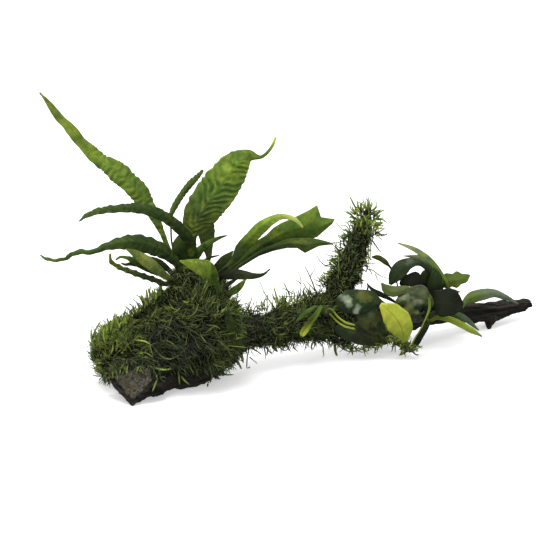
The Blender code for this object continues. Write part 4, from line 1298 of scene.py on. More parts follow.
# %% Oval leaves
OVAL_LOOKS = {
    # Its pale grey patches are painted reflections of the light on the glossy leaf.
    "anubias_leaf_glossy_front": toned(
        DARK, (42, 60, 34), DEEP, step=1.3, columns=25, cup=0.1, fold=0.02, crumple=1.2,
        crumple_size=9, patches="""
            364 297 9 6 88 94 42|346 299 6 4.5 150 162 130|349 304 4 4 160 170 142
            358 307 4 3 140 152 118|356 311 3 3.5 168 176 150|341 296 2.5 2 130 142 108"""),
    "anubias_leaf_dark_left": toned(
        DARK, (78, 88, 54), (64, 76, 50), step=1.5, columns=21, cup=0.04, crumple=1.4,
        crumple_size=8, patches="""
            364 320 7 4 96 104 54|371 315 4 4 104 116 84|372 329 5 4 44 52 34
            379 326 3 6 52 62 40"""),
    "anubias_leaf_dark_low": toned(
        DARK, (56, 66, 42), (56, 70, 46), step=1.5, columns=21, cup=0.04, crumple=1.4,
        crumple_size=8, patches="352 330 7 4 76 86 52|368 342 8 3 44 52 34"),
    "anubias_leaf_lime": toned(
        (180, 194, 74), (204, 216, 82), (206, 216, 82), cup=0.02, fold=0.015, rib_gap=6,
        crumple=0.4, wave=15, scallop=0.04),
    "anubias_leaf_strap": toned(INKY, INKY, DEEP),
    # Its pale grey patches are painted reflections and its darkest patches painted shade in its
    # folds.
    "anubias_leaf_mottled": toned(
        DARK, (86, 96, 62), (82, 92, 60), step=1.2, columns=29, cup=0.02, fold=0.03, crumple=2.8,
        crumple_size=8, bloom=0.1, wave=16, scallop=0.06, patches="""
            421 308 9 4 42 52 34|403 304 4 3.5 46 62 40|405.5 297 5 3 132 138 106
            422 288 7 3.5 104 110 80|413.5 311.5 5 3.5 76 88 60|417 302.5 6 2.5 122 126 98
            429 295 3 9 76 90 54|414 295.5 4.5 2 62 76 50|422 316 6 5 36 44 30"""),
    # This leaf shows its underside in shadow: its near-black tones are painted shade.
    "anubias_leaf_black": toned(
        INKY, (27, 34, 21), (28, 36, 22), step=1.5, columns=21, fold=0.0, crumple=0.6, wave=21,
        scallop=0.06),
    "anubias_leaf_dark_neck": toned(INKY, DEEP, DARK),
    # Its grey tip and grey patches are painted sheen on its upper face.
    "anubias_leaf_pale_tip_up": toned(
        (96, 120, 50), (116, 138, 60), (124, 136, 104), fold=0.1, roll=(5, 15), bloom=0.1,
        patches="420 250 9 2 100 112 92|433 258 7 2.4 96 108 86|442 268 3.5 4.5 92 106 78"),
    "anubias_leaf_hooked": toned(
        DEEP, (48, 62, 38), DEEP, fold=0.14, patches="411 262 6 4 84 96 72"),
    # Its grey tones are painted sheen.
    "anubias_leaf_grey_behind": toned(DEEP, SHEEN_GREY, SHEEN_STEEL, fold=0.12, bloom=0.2),
    "anubias_leaf_shaded": toned(
        INKY, (32, 37, 26), (38, 46, 30), fold=0.02, crumple=1.5, wave=15, scallop=0.15),
    "anubias_leaf_small_shaded": toned(INKY, (58, 62, 32), DARK),
    "anubias_leaf_green_right": toned(
        MIDDLE, (92, 106, 44), FRESH, rib_gap=4.5, rib_height=0.5, rib_slant=0.7, fold=0.12,
        wave=11, wave_height=1.2, scallop=0.16),
    "anubias_leaf_tiny_right": toned(MIDDLE, MIDDLE, FRESH),
    # Its grey-green middle and tip are painted sheen.
    "anubias_leaf_long_grey": toned(
        MIDDLE, (84, 98, 80), (80, 94, 76), cup=0.08, halves=(1.15, 1.05), bloom=0.15,
        roll=(-10, -25)),
    "anubias_leaf_lime_low": toned(
        YELLOW, (158, 176, 64), (110, 136, 54), fold=0.12, roll=(0, -20)),
    # Its grey-green middle and tip are painted sheen.
    "anubias_leaf_grey_low": toned(MIDDLE, (92, 108, 80), (86, 102, 74), bloom=0.15),
    "anubias_leaf_pale_left": toned(MIDDLE, (98, 114, 66), (92, 108, 56), fold=0.12, bloom=0.1),
    "anubias_leaf_dark_point": toned(DEEP, BOTTLE, BOTTLE, bloom=0.1),
    "anubias_leaf_by_fork": toned(DARK, DEEP, OLIVE),
    "anubias_leaf_tongue": toned(
        FRESH, (84, 100, 38), (180, 196, 74), fold=-0.16, halves=(1.15, 0.85)),
    "anubias_leaf_short_tongue": toned(MIDDLE, (72, 96, 40), (104, 126, 46), fold=0.1),
    "anubias_stem_upper": toned(YELLOW, LIME, LIME),
    "anubias_stem_lower": toned(YELLOW, LIME, LIME),
}
LIME_PIECES = (
    "anubias_leaf_lime", "anubias_leaf_lime_low", "anubias_leaf_tongue", "anubias_stem_upper",
    "anubias_stem_lower")

total = 0
for seed, (name, (tones, changes)) in enumerate(OVAL_LOOKS.items()):
    slot = "lime_leaf" if name in LIME_PIECES else "oval_leaf"
    changes = {"rib_height": 0.18, "rib_gap": 5.5, "rib_slant": 0.6, "rib_stray": 0.6, **changes}
    finish = LIME_OVAL if name in LIME_PIECES else OVAL
    piece = add_leaf(name, finish, slot, tones, changes, seed + 60)
    if name.startswith("anubias_stem"):
        piece.name = name.replace("stem", "pale_stalk")
    total += triangles_of(piece.data)
print("oval leaves", len(OVAL_LOOKS), "with", total, "triangles")

add_piece(
    "bright_stalk", leaf_mesh(
        "stalk", LEAVES["bright_stalk"], ((140, 160, 58), (134, 156, 56), (96, 120, 50)), 95),
    LIME_OVAL, "lime_leaf")
add_piece(
    "blade_in_moss", leaf_mesh(
        "blade", LEAVES["blade_in_moss"], (DEEP, (64, 80, 44), DEEP), 96, fold=0.05,
        crumple=0.8), FERN, "fern_leaf")

# %% [markdown]
# ## Moss
# Moss is thousands of thin curved strands over a dark mat, whose darkness is painted shade.
# The mat is a lumpy skin a few millimetres inside the moss's surface, and the strands lie over
# it and reach out of it. The mat carries fields that say how the moss grows at each place:
# which way the strands are combed and how dense and how long they are, and one that says
# how much painted light their colour takes.

# %% Moss mats
# Moss stations: across, down, depth, half width and half height
MOUND, BRANCH_MOSS, UPRIGHT_MOSS = runs("""
mound 152 374 16 50 26|154 366 17 53 31|156 358 16 62 37|161.5 347 15 67.5 41|
167.5 336 14 67.5 41|180 325 13 54.5 37.5|187.5 315 12.5 45 33|191.5 306 12 39 28|
192 299 12 31.5 22|193 292 12 24.5 17.5|193.5 285 12 21 14|193 276 12 18 11|193 269 12 11 6
branch_moss 226 337 42 17 17|238 331 47 15 16.5|250 331.5 53 14 14|266 330.5 60 14 15.5|
285 326 69 14.5 16.5|305 321 79 15.5 19|322 316 88 16 23.5|338 314.5 97 14 24|350 320 103 11 14
upright_moss 339 297 94 15 14|341.5 283 93.5 13.2 13|349.5 268 92.5 12 12|353.5 255 91.5 11.4 11|
357 243 91 10.2 10|362 231 90 8.6 9|364.5 222 89.5 6.4 6.4|365.5 217 89 3.5 3.5|
366 214.5 88.5 1.2 1.2
""", 5).values()
# The mat's dark greys are painted shade: the dark inside of the moss seen between the strands.
MAT_SHADE_TONES = (24, 24, 20), (54, 54, 44)
LOWEST_MAT = 0.0006


def mat_finish():
    f = Finish("moss_mat", Roughness=0.95, **{"Specular IOR Level": 0.05})
    tangle = f.noise(330.0, 6.0, rough=0.7)
    f.colour(f.mix(f.span(tangle, 0.42, 0.68), *MAT_SHADE_TONES))
    f.bump(tangle, 0.003, 1.0)
    return f.material


def mat_mesh(name, points, log, rough):
    points = points + grid_normals(points) * (lumps(points, 0.013, 3) * rough)[..., None]
    points[..., 2] = np.maximum(points[..., 2], LOWEST_MAT)
    flat, faces, _ = closed_tube(points, log)
    return mesh_from(name, flat, faces)


MAT = mat_finish()
mound_skin = skin(MOUND, 96, 8, 0.10, 5, level=True)
branch_skin = skin(BRANCH_MOSS, 56, 8, 0.2, 6)
upright_skin = skin(UPRIGHT_MOSS, 48, 8, 0.2, 7, reference=STRAIGHT_BACK)
# The solid in whose place it stands, its name, its rings and how rough it is in metres
MATS = [
    ("moss_mound", "moss_mound_mat", mound_skin, 0.008),
    ("moss_on_branch", "moss_branch_mat", branch_skin, 0.004),
    ("moss_on_upright_fork", "moss_upright_mat", upright_skin, 0.003)]
mats = {}
for solid, name, rings, rough in MATS:
    mats[solid] = add_piece(name, mat_mesh(name, *rings, rough), MAT, "moss", solid)
    print(name, triangles_of(mats[solid].data), "triangles")

# %% [markdown]
# A strand is a thin blade with three sides that tapers to its tip. A few shapes are
# enough, because each copy is turned, stretched and bent differently: short curved ones,
# long wavy ones that lie over each other, and sprigs with side shoots.

# %% Strand shapes
STRAND_LENGTH = 14.0
STRAND_RADIUS = 0.85


def tapered_tube(path, radii, sides=3, flatness=0.6, share=None):
    """A thin tube that ends in a point, with a share along it for the finish."""
    path = np.asarray(path, float)
    ahead = unit(np.gradient(path, axis=0))
    reference = STRAIGHT_BACK if abs(ahead[0][1]) < 0.9 else TO_RIGHT
    side = unit(np.cross(ahead, reference))
    other = np.cross(side, ahead)
    angle = turns(sides)
    wide = side[:, None] * np.cos(angle)[None, :, None]
    thin = other[:, None] * np.sin(angle)[None, :, None] * flatness
    rings = path[:-1, None] + (wide + thin)[:-1] * np.asarray(radii)[:-1, None, None]
    points = np.concatenate([rings.reshape(-1, 3), path[-1:]])
    faces = tube_faces(len(path) - 1, sides)
    last, tip = (len(path) - 2) * sides, len(points) - 1
    faces += [(last + k, last + (k + 1) % sides, tip) for k in range(sides)]
    faces.append(tuple(range(sides))[::-1])
    if share is None:
        share = np.linspace(0.0, 1.0, len(path))
    return points, faces, np.concatenate([np.repeat(share[:-1], sides), share[-1:]])


def merged(parts):
    points, faces, shares = [], [], []
    count = 0
    for part_points, part_faces, part_share in parts:
        points.append(part_points)
        faces += [tuple(v + count for v in face) for face in part_faces]
        shares.append(part_share)
        count += len(part_points)
    return np.concatenate(points), faces, np.concatenate(shares)


def strand(bend, sway, segments=4):
    t = np.linspace(0, 1, segments + 1)
    across = bend * t**2 + sway * np.sin(t * 5)
    path = np.stack([across, sway * np.cos(t * 4) - sway, t * STRAND_LENGTH], -1)
    radii = STRAND_RADIUS * (1 - t) ** 0.4 * (0.7 + 0.5 * t)
    return tapered_tube(path * MM, radii * MM)


def sprig(bend, shoots):
    """A strand with side shoots, each leaving it at about half a right angle."""
    parts = [strand(bend, 0.4)]
    for k in range(shoots):
        t = 0.28 + 0.52 * k / max(shoots - 1, 1)
        root = np.array((bend * t**2, 0.0, t * STRAND_LENGTH))
        out = np.array(((-1.0) ** k * 2.6, 0.7 * (-1) ** (k // 2), 2.9)) * (1.15 - 0.4 * t)
        path = np.array([root, root + out * 0.55 + (0, 0, 0.2), root + out + (0, 0, 0.9)])
        parts.append(tapered_tube(
            path * MM, np.array((0.55, 0.5, 0.0)) * MM, share=np.array((t, 0.8, 1.0))))
    return merged(parts)


SHAPES = {
    "short": [strand(0.8, 0.0, 3), strand(-1.8, 0.2, 3), strand(2.8, 0.2, 4)],
    "long": [strand(3.8, 0.5, 5), strand(-2.6, 1.0, 5), strand(1.2, 0.7, 5)],
    "sprig": [sprig(2.5, 4), sprig(-3.5, 5), sprig(0.5, 3)],
}


def shape_collection(name, shapes):
    collection = bpy.data.collections.new(name)
    for k, (points, faces, share) in enumerate(shapes):
        mesh = mesh_from(f"{name}_{k}", points, faces, {"along": share})
        collection.objects.link(bpy.data.objects.new(f"{name}_{k}", mesh))
    return collection


STRANDS = {name: shape_collection(f"strands_{name}", shapes) for name, shapes in SHAPES.items()}

# %% [markdown]
# The strands take their colour from their own length and from their painted light: a
# shaded strand is painted almost black at the root and green further out, a lit one green at
# the root and lime at the tip, as painted shade and painted highlights. Each strand also has
# its own chance number, which makes some brown and some yellow.

# %% Strand finish
# Each pair is the tone at chance 0 and at chance 1
ROOT_SHADE_TONES = (28, 28, 28), (58, 58, 54)
GREEN_TONES = (40, 45, 40), (90, 101, 78)
LIT_TIP_TONES = (81, 106, 50), (190, 212, 92)
BROWN = (54, 44, 40)


def strand_finish():
    f = Finish("moss_strand", Roughness=0.55, **{"Specular IOR Level": 0.12})
    along = f.attribute("along")
    light = f.attribute("light")
    chance = f.attribute("chance")
    root = f.mix(chance, *ROOT_SHADE_TONES)
    green = f.mix(chance, *GREEN_TONES)
    tip = f.mix(chance, *LIT_TIP_TONES)
    # Painted light: the light attribute mixes the shaded colours with the lit ones.
    shaded = f.mix(f.span(along, 0.0, 0.8), root, green)
    lit = f.mix(f.span(along, 0.0, 0.45), green, tip)
    colour = f.mix(light, shaded, lit)
    brown = f.span(chance, 0.93, 0.95)
    colour = f.mix(f.math("MULTIPLY", brown, 0.75), colour, BROWN)
    f.colour(colour)
    return f.material


STRAND = strand_finish()

# %% [markdown]
# ### Growing the strands with Geometry Nodes
# Points are scattered over the mat with a density that one of the mat's own fields holds
# back or lets through. On each point lies one strand shape, turned into the combed
# direction with some disorder, but rising from the mat no more than its input allows. It
# is spun about itself and stretched. Realising the copies gives one plain mesh. Doing
# this in nodes keeps the rule in one place, and every patch of moss is the same tree with
# other inputs.

# %% The tree that grows moss
GROW_INPUTS = [
    ("Where", "NodeSocketString", "growth"),
    ("Strands per square metre", "NodeSocketFloat", 100000.0),
    ("Seed", "NodeSocketInt", 1),
    ("Length", "NodeSocketFloat", 1.0),
    ("Thickness", "NodeSocketFloat", 1.0),
    ("Disorder", "NodeSocketFloat", 0.5),
    ("Rise", "NodeSocketFloat", 0.3),
    ("Light", "NodeSocketFloat", 1.0),
    ("Strand shapes", "NodeSocketCollection", None),
    ("Finish", "NodeSocketMaterial", None),
]


class Growing(Nodes):
    """The tree that grows strands on a mat, with its inputs and outputs."""

    def __init__(self, name):
        super().__init__(bpy.data.node_groups.new(name, "GeometryNodeTree"))
        self.tree.is_modifier = True
        face = self.tree.interface
        face.new_socket(name="Mat", in_out="INPUT", socket_type="NodeSocketGeometry")
        for label, kind, value in GROW_INPUTS:
            made = face.new_socket(name=label, in_out="INPUT", socket_type=kind)
            if value is not None:
                made.default_value = value
        face.new_socket(name="Strands", in_out="OUTPUT", socket_type="NodeSocketGeometry")
        self.given = self.tree.nodes.new("NodeGroupInput").outputs

    def field(self, name, kind="FLOAT"):
        node = self.add("GeometryNodeInputNamedAttribute", {"Name": name}, data_type=kind)
        return live_socket(node.outputs, "Attribute")

    def chance(self, low, high, offset, kind="FLOAT"):
        """A chance value for each point; the offset keeps one choice apart from the next."""
        node = self.add("FunctionNodeRandomValue", {
            "Min": low, "Max": high, "Seed": self.math("ADD", self.given["Seed"], float(offset))},
            data_type=kind)
        return live_socket(node.outputs, "Value")

    def times(self, a, b):
        return self.math("MULTIPLY", a, b)

    def vector(self, how, inputs, output="Vector"):
        return live_socket(self.add("ShaderNodeVectorMath", inputs, operation=how).outputs, output)

    def stored(self, geometry, name, value):
        return self.add("GeometryNodeStoreNamedAttribute", {
            "Geometry": geometry, "Name": name, "Value": value},
            domain="INSTANCE", data_type="FLOAT").outputs[0]


def growing_tree():
    g = Growing("grow_moss")
    scatter = g.add("GeometryNodeDistributePointsOnFaces", {
        "Mesh": g.given["Mat"],
        "Density": g.times(g.given["Strands per square metre"], g.field(g.given["Where"])),
        "Seed": g.given["Seed"]})
    astray = g.vector("SCALE", {
        0: g.chance((-1.0, -1.0, -1.0), (1.0, 1.0, 1.0), 11, "FLOAT_VECTOR"),
        "Scale": g.given["Disorder"]})
    combed = g.vector("ADD", {0: g.field("comb", "FLOAT_VECTOR"), 1: astray})
    combed = g.vector("NORMALIZE", {0: combed})
    outward = g.vector("DOT_PRODUCT", {0: combed, 1: scatter.outputs["Normal"]}, "Value")
    allowed = g.add("ShaderNodeClamp", {"Value": outward, "Min": 0.0, "Max": g.given["Rise"]})
    change = g.math("SUBTRACT", allowed.outputs[0], outward)
    lifted = g.vector("SCALE", {0: scatter.outputs["Normal"], "Scale": change})
    towards = g.vector("ADD", {0: combed, 1: lifted})
    aligned = g.add("FunctionNodeAlignRotationToVector", {"Vector": towards}, axis="Z")
    spin = g.add("FunctionNodeAxisAngleToRotation", {
        "Axis": (0.0, 0.0, 1.0), "Angle": g.chance(0.0, 2 * math.pi, 23)})
    turned = g.add("FunctionNodeRotateRotation", {
        "Rotation": aligned.outputs[0], "Rotate By": spin.outputs[0]}, rotation_space="LOCAL")
    length = g.times(g.times(g.chance(0.5, 1.35, 37), g.field("long")), g.given["Length"])
    thickness = g.times(g.chance(0.7, 1.3, 41), g.given["Thickness"])
    size = g.add("ShaderNodeCombineXYZ", {0: thickness, 1: thickness, 2: length})
    shapes = g.add("GeometryNodeCollectionInfo", {
        "Collection": g.given["Strand shapes"], "Separate Children": True, "Reset Children": True})
    standing = g.add("GeometryNodeInstanceOnPoints", {
        "Points": scatter.outputs["Points"], "Instance": shapes.outputs[0], "Pick Instance": True,
        "Instance Index": g.chance(0, 2, 53, "INT"), "Rotation": turned.outputs[0],
        "Scale": size.outputs[0]})
    named = g.stored(standing.outputs[0], "chance", g.chance(0.0, 1.0, 67))
    # Each strand's painted light: the field's value times a chance and the growth's own amount.
    chance_light = g.times(g.field("light"), g.chance(0.2, 1.6, 71))
    lit = g.stored(named, "light", g.math("MULTIPLY", chance_light, g.given["Light"], clamp=True))
    real = g.add("GeometryNodeRealizeInstances", {"Geometry": lit})
    dressed = g.add("GeometryNodeSetMaterial", {
        "Geometry": real.outputs[0], "Material": g.given["Finish"]})
    out = g.tree.nodes.new("NodeGroupOutput")
    g.tree.links.new(dressed.outputs[0], out.inputs[0])
    return g.tree


GROW_MOSS = growing_tree()
IDENTIFIERS = {
    item.name: item.identifier for item in GROW_MOSS.interface.items_tree if item.in_out == "INPUT"}
print("inputs", IDENTIFIERS)

# %% [markdown]
# The fields are worked out for every point of a mat. Nothing grows where the mat dips
# into the wood or lies on the ground. The moss of the mound is combed as one sees it from
# the front: upright at the left end, swept down to the right over the middle, fanned out at
# the upper right, hanging at the foot. Noise breaks this into tufts. The light field is
# painted light: it paints the strands lit or shaded by their place.

# %% Growth fields


def tree_of(thing):
    mesh = thing.data
    points = [v.co for v in mesh.vertices]
    return BVHTree.FromPolygons(points, [p.vertices[:] for p in mesh.polygons])


WOOD_TREES = [tree_of(thing) for thing in (stump, branch, right_fork, upright_fork)]
MAT_TREES = [tree_of(thing) for thing in mats.values()]
UPWARD = Vector((0.13, -0.07, 1.0)).normalized()
GROUND_MARGIN = 0.002
MAT_MARGIN = 0.003


def buried(point, solids, depth):
    """Whether a point lies deeper than this in a solid: upwards it meets a face from behind."""
    for tree in solids:
        away = tree.find_nearest(point)[3]
        place, normal, _, _ = tree.ray_cast(point, UPWARD)
        if away > depth and place is not None and normal.dot(UPWARD) > 0:
            return True
    return False


def growth_fields(mesh, rule, solids, depth=0.0):
    """Stores comb, growth, tips, long and light on a mesh, as the rule says for its points."""
    points = np.array([v.co[:] for v in mesh.vertices])
    normals = np.array([v.normal[:] for v in mesh.vertices])
    bare = np.array([buried(v.co, solids, depth) for v in mesh.vertices])
    tufts = lump_vectors(points, 0.024)
    tufts = tufts - normals * np.einsum("ij,ij->i", tufts, normals)[:, None]
    comb, growth, tips, longer, light = rule(points, normals, tufts)
    open_air = ~(bare | (points[:, 2] < GROUND_MARGIN))
    fields = {"growth": growth * open_air, "tips": tips * open_air, "long": longer, "light": light}
    for name, values in fields.items():
        set_attribute(mesh, name, values, "FLOAT")
    set_attribute(mesh, "comb", unit(comb), "FLOAT_VECTOR")


def mixed(*weighted):
    """A sum of directions, each with its weight for every point."""
    return sum(np.asarray(weight)[..., None] * direction for weight, direction in weighted)


def mound_rule(points, normals, tufts):
    across, down = on_sheet(points)
    left = share_between(across, 150, 108)
    foot = share_between(down, 350, 385)
    fan = share_between(across, 170, 205) * share_between(down, 350, 315)
    neck = share_between(down, 296, 280)
    middle = (1 - left) * (1 - foot) * (1 - fan)
    upward = 1.0 * left - 0.60 * middle - 0.5 * foot * (1 - left) + 0.9 * fan - 1.2 * neck
    comb = mixed(
        (0.35 + 0.2 * left, normals), (1.3 - 0.5 * left, tufts), (upward, STRAIGHT_UP),
        (0.95 * middle + 0.45 * fan - 0.2 * left + 0.3 * foot, TO_RIGHT))
    slope = share_between(down, 345, 300) * share_between(across, 200, 150)
    patchy = lumps(points + 3.0, 0.011)
    # Painted light: the strands are painted lit at the left end, on the upper slope, at the foot
    # and towards the right, with noise between.
    lit_left = left * (1 - 0.75 * share_between(down, 350, 370))
    light = 0.04 + 1.08 * lit_left + 0.88 * slope + 0.40 * patchy + 0.06 * fan
    tips = np.clip(0.06 + 1.1 * lit_left + 0.9 * slope + 0.2 * fan + 0.4 * patchy, 0.0, 1.0)
    light = light + 0.50 * foot + 0.20 * fan + 0.34 * share_between(across, 198, 214)
    light = np.clip(light, 0.06, 1.0)
    growth = share_between(down - 16 * left, 371, 360)
    return comb, growth, tips, 1.0 - 0.25 * left - 0.35 * neck - 0.4 * foot, light


def branch_rule(points, normals, tufts):
    top = share_between(normals[:, 2], -0.1, 0.8)
    comb = mixed((0.30, normals), (0.8, tufts), (0.5 * top - 0.2, STRAIGHT_UP), (0.6, TO_RIGHT))
    patchy = lumps(points + 5.0, 0.010)
    # Painted light: the strands on top of the branch are painted lighter, where the light falls.
    light = np.clip(0.42 + 0.25 * top + 0.40 * patchy, 0.08, 1.0)
    return comb, np.ones(len(points)), top**2, np.full(len(points), 0.8), light


def upright_rule(points, normals, tufts):
    _, down = on_sheet(points)
    high = share_between(down, 238, 216)
    sway = lumps(points + 9.0, 0.02)
    comb = mixed(
        (0.25 + 0.6 * high, normals), (0.5, tufts), (0.55 * sway + 0.5 * high, STRAIGHT_UP))
    patchy = lumps(points + 7.0, 0.009)
    # Painted light: the strands high on the fork are painted lighter.
    light = np.clip(0.30 + 0.75 * high + 0.35 * patchy, 0.08, 1.0)
    return comb, 1.0 - 0.2 * high, high, 0.75 + 0.1 * high, light


def stump_rule(points, normals, tufts):
    """Moss on the stump's back and sides, down to a bare dark band above the ground."""
    across, down = on_sheet(points)
    comb = mixed((0.5, normals), (0.9, tufts), (-0.4, STRAIGHT_UP))
    sawn = np.array([a.value for a in stump.data.attributes["sawn"].data])
    front = (points - (SAW_POINT - ORIGIN) * MM).dot(SAW_NORMAL)
    growth = share_between(points[:, 2], 0.010, 0.020) * (front < 0.0) * (sawn < 0.1)
    left = share_between(across, 150, 108)
    growth = growth * share_between(down - 7 * left, 374, 363)
    # Painted light: the strands are painted lighter towards the left.
    light = np.clip(0.12 + 0.6 * left, 0, 1)
    return comb, growth, growth * left, np.full(len(points), 0.85), light


def wood_rule(points, normals, tufts):
    """Moss on the wood as far as the leaves of the second plant."""
    comb = mixed((0.5, normals), (0.9, tufts))
    growth = share_between(points[:, 0], 0.125, 0.095)
    # The strands here are painted shaded: their light value is low.
    return comb, growth, growth, np.full(len(points), 0.7), np.full(len(points), 0.15)


def crown_rule(points, normals, tufts):
    comb = mixed((0.5, normals), (0.9, tufts), (0.2, STRAIGHT_UP))
    ones = np.ones(len(points))
    # The crown's strands are painted half shaded.
    return comb, ones, ones, ones * 0.8, ones * 0.35


grounds = {name: mat.data for name, mat in mats.items()}
MAT_RULES = {
    "moss_mound": mound_rule, "moss_on_branch": branch_rule, "moss_on_upright_fork": upright_rule}
BARE_RULES = {
    "stump": (stump, stump_rule), "branch": (branch, wood_rule),
    "right_fork": (right_fork, wood_rule),
    "crown": (bpy.data.objects["fern_creeping_stem"], crown_rule)}
for name, rule in MAT_RULES.items():
    growth_fields(grounds[name], rule, WOOD_TREES)
for name, (thing, rule) in BARE_RULES.items():
    grounds[name] = thing.data.copy()
    growth_fields(grounds[name], rule, MAT_TREES, MAT_MARGIN)

# %% [markdown]
# Each row below is one growth: its name, the ground it stands on, which field holds it
# back, its shapes, how many strands to a square metre, its seed, and how long, thick,
# disorderly, rising and lit they are; the last number is painted light. A mound has a tangle
# painted shaded, longer strands over it, sprigs at its lit places and a few long strands
# painted bright as highlights, each a piece of its own to stay of a size that is easy to
# handle.

# %% Grow the moss
GROWTHS = """
moss_mound_tangle moss_mound growth long 180000 1 0.95 0.65 0.9 0.12 0.5
moss_mound_strands moss_mound growth long 80000 2 1.3 0.68 0.8 0.26 0.75
moss_mound_sprigs moss_mound tips sprig 60000 3 0.65 0.8 0.6 0.5 1.8
moss_mound_bright moss_mound growth long 9000 14 1.6 0.66 1.1 0.4 4.5
moss_branch_tangle moss_on_branch growth long 200000 4 0.8 0.75 0.9 0.12 0.5
moss_branch_strands moss_on_branch growth long 60000 5 1 0.65 0.8 0.3 1
moss_branch_sprigs moss_on_branch tips sprig 7000 6 0.6 0.7 0.6 0.6 2
moss_upright_strands moss_on_upright_fork growth long 260000 7 0.7 0.62 0.9 0.16 1.1
moss_upright_sprigs moss_on_upright_fork tips sprig 22000 8 0.6 0.9 0.6 0.8 3
moss_stump_strands stump growth long 230000 10 0.7 0.8 0.7 0.2 0.7
moss_stump_tips stump tips short 60000 15 0.8 0.9 0.6 0.4 1.4
moss_wood_strands branch growth short 160000 11 0.8 0.8 0.7 0.3 1
moss_fork_strands right_fork growth short 160000 12 0.7 0.8 0.7 0.3 1
moss_crown_strands crown growth short 260000 13 0.6 0.75 0.6 0.3 0.9
"""
NUMBER_INPUTS = (
    "Strands per square metre", "Seed", "Length", "Thickness", "Disorder", "Rise", "Light")
GROUND_CLEARANCE = 0.0004
MOSS_FIELDS = ("along", "light", "chance")


def lift_off_ground(mesh):
    points = np.empty(len(mesh.vertices) * 3, np.float32)
    mesh.vertices.foreach_get("co", points)
    points = points.reshape(-1, 3)
    points[:, 2] = np.maximum(points[:, 2], GROUND_CLEARANCE)
    mesh.vertices.foreach_set("co", points.ravel())


def grow(name, ground, where, shapes, *numbers):
    carrier = bpy.data.objects.new(name, grounds[ground].copy())
    bpy.context.scene.collection.objects.link(carrier)
    step = carrier.modifiers.new("grow_moss", "NODES")
    step.node_group = GROW_MOSS
    given = {"Where": where, "Strand shapes": STRANDS[shapes], "Finish": STRAND}
    for label, word in zip(NUMBER_INPUTS, numbers):
        given[label] = int(word) if label == "Seed" else float(word)
    for label, value in given.items():
        step[IDENTIFIERS[label]] = value
    bpy.context.view_layer.update()
    graph = bpy.context.evaluated_depsgraph_get()
    mesh = bpy.data.meshes.new_from_object(carrier.evaluated_get(graph))
    bpy.data.objects.remove(carrier)
    lift_off_ground(mesh)
    kept = (*MOSS_FIELDS, "position", "sharp_face")
    for unwanted in [a.name for a in mesh.attributes if a.name not in kept and a.name[0] != "."]:
        mesh.attributes.remove(mesh.attributes[unwanted])
    mesh.shade_smooth()
    piece = add_piece(name, mesh, STRAND, "moss")
    print(name, triangles_of(mesh), "triangles")
    return piece


moss_pieces = [grow(*growth.split()) for growth in GROWTHS.strip().split("\n")]
for collection in STRANDS.values():
    for thing in list(collection.objects):
        bpy.data.objects.remove(thing)
    bpy.data.collections.remove(collection)

# %% [markdown]
# ### Strands at the outline
# The strands that stand out against the background give the moss its character, so they
# are drawn one by one, from the root through two or three places of the drawing to the
# tip. Each line has its width in millimetres, how lit its colour is painted, and the places.
# Number 2 as light makes a brown root instead of a green strand.

# %% Drawn strands
LIT_STRAND = 0.55
BROWN_ROOT = 1.5
# Light and chance number of a brown root, which the finish turns brown
BROWN_LOOK = (0.15, 1.0)
BRANCH_REEDS = """
1.2 .7 275 309 267.7 298 263.5 291 260 281|1.2 .4 267 312 267.3 297 269 294
2 .8 279 307 276 295 273.6 286|1.6 .8 276 302 273.5 297 272.3 293.5
1.4 .8 290 295 286.8 289 282.5 280|1.1 .6 293 294 285 289 280.5 288
1 .5 301.5 295.5 288 296.5 274 295.5|1 .7 300.5 295 301 284.5 300.5 278 297.7 270.5
1.6 .25 320 304 316.8 293.6 314.5 288 311.4 280 307.7 271.8 303.6 264
1 .6 310 277 312.5 273 315.5 268.5|1.1 .8 301 284 298.6 281.8 295 279.5
1.3 .7 311.5 293 306.8 289 301.4 279.5|1.3 .8 315 291 310.5 285.5 305 280.5
1.6 .8 322 281 319 278.5 316.5 276.5|1.2 .7 320 282 316 280 313.2 279
1.3 .8 248 310 250 303.6 252.3 296.8|1.2 .3 249.5 315 247.3 309 244.5 303
1 .5 265 311 264 308.5 262.3 305.5|1 .6 254 313 250 307 245.5 302.7
1.2 .3 331 264 326 265.5 322.7 263.6 318.6 259 316.4 254|1.3 .7 338 256 330.5 256 325 253.6
1.3 .7 336 260 331 259.5 327.7 260|1.3 .9 340.5 253 336 248 331.4 244
1.8 .9 344.5 246 343.2 240 341.4 233.6|1.3 .9 351 234 346 231 340.8 228 335 222
1.3 .8 288 309 284 300 285 292|1.3 .8 295 306 291 300 287 290|1.2 .8 283 306 290 301 296 295
1.1 .8 303 299 303 292 305 286|1.2 .8 297 301 299 296 298 289|1 .7 306 298 309 290 310 284
"""
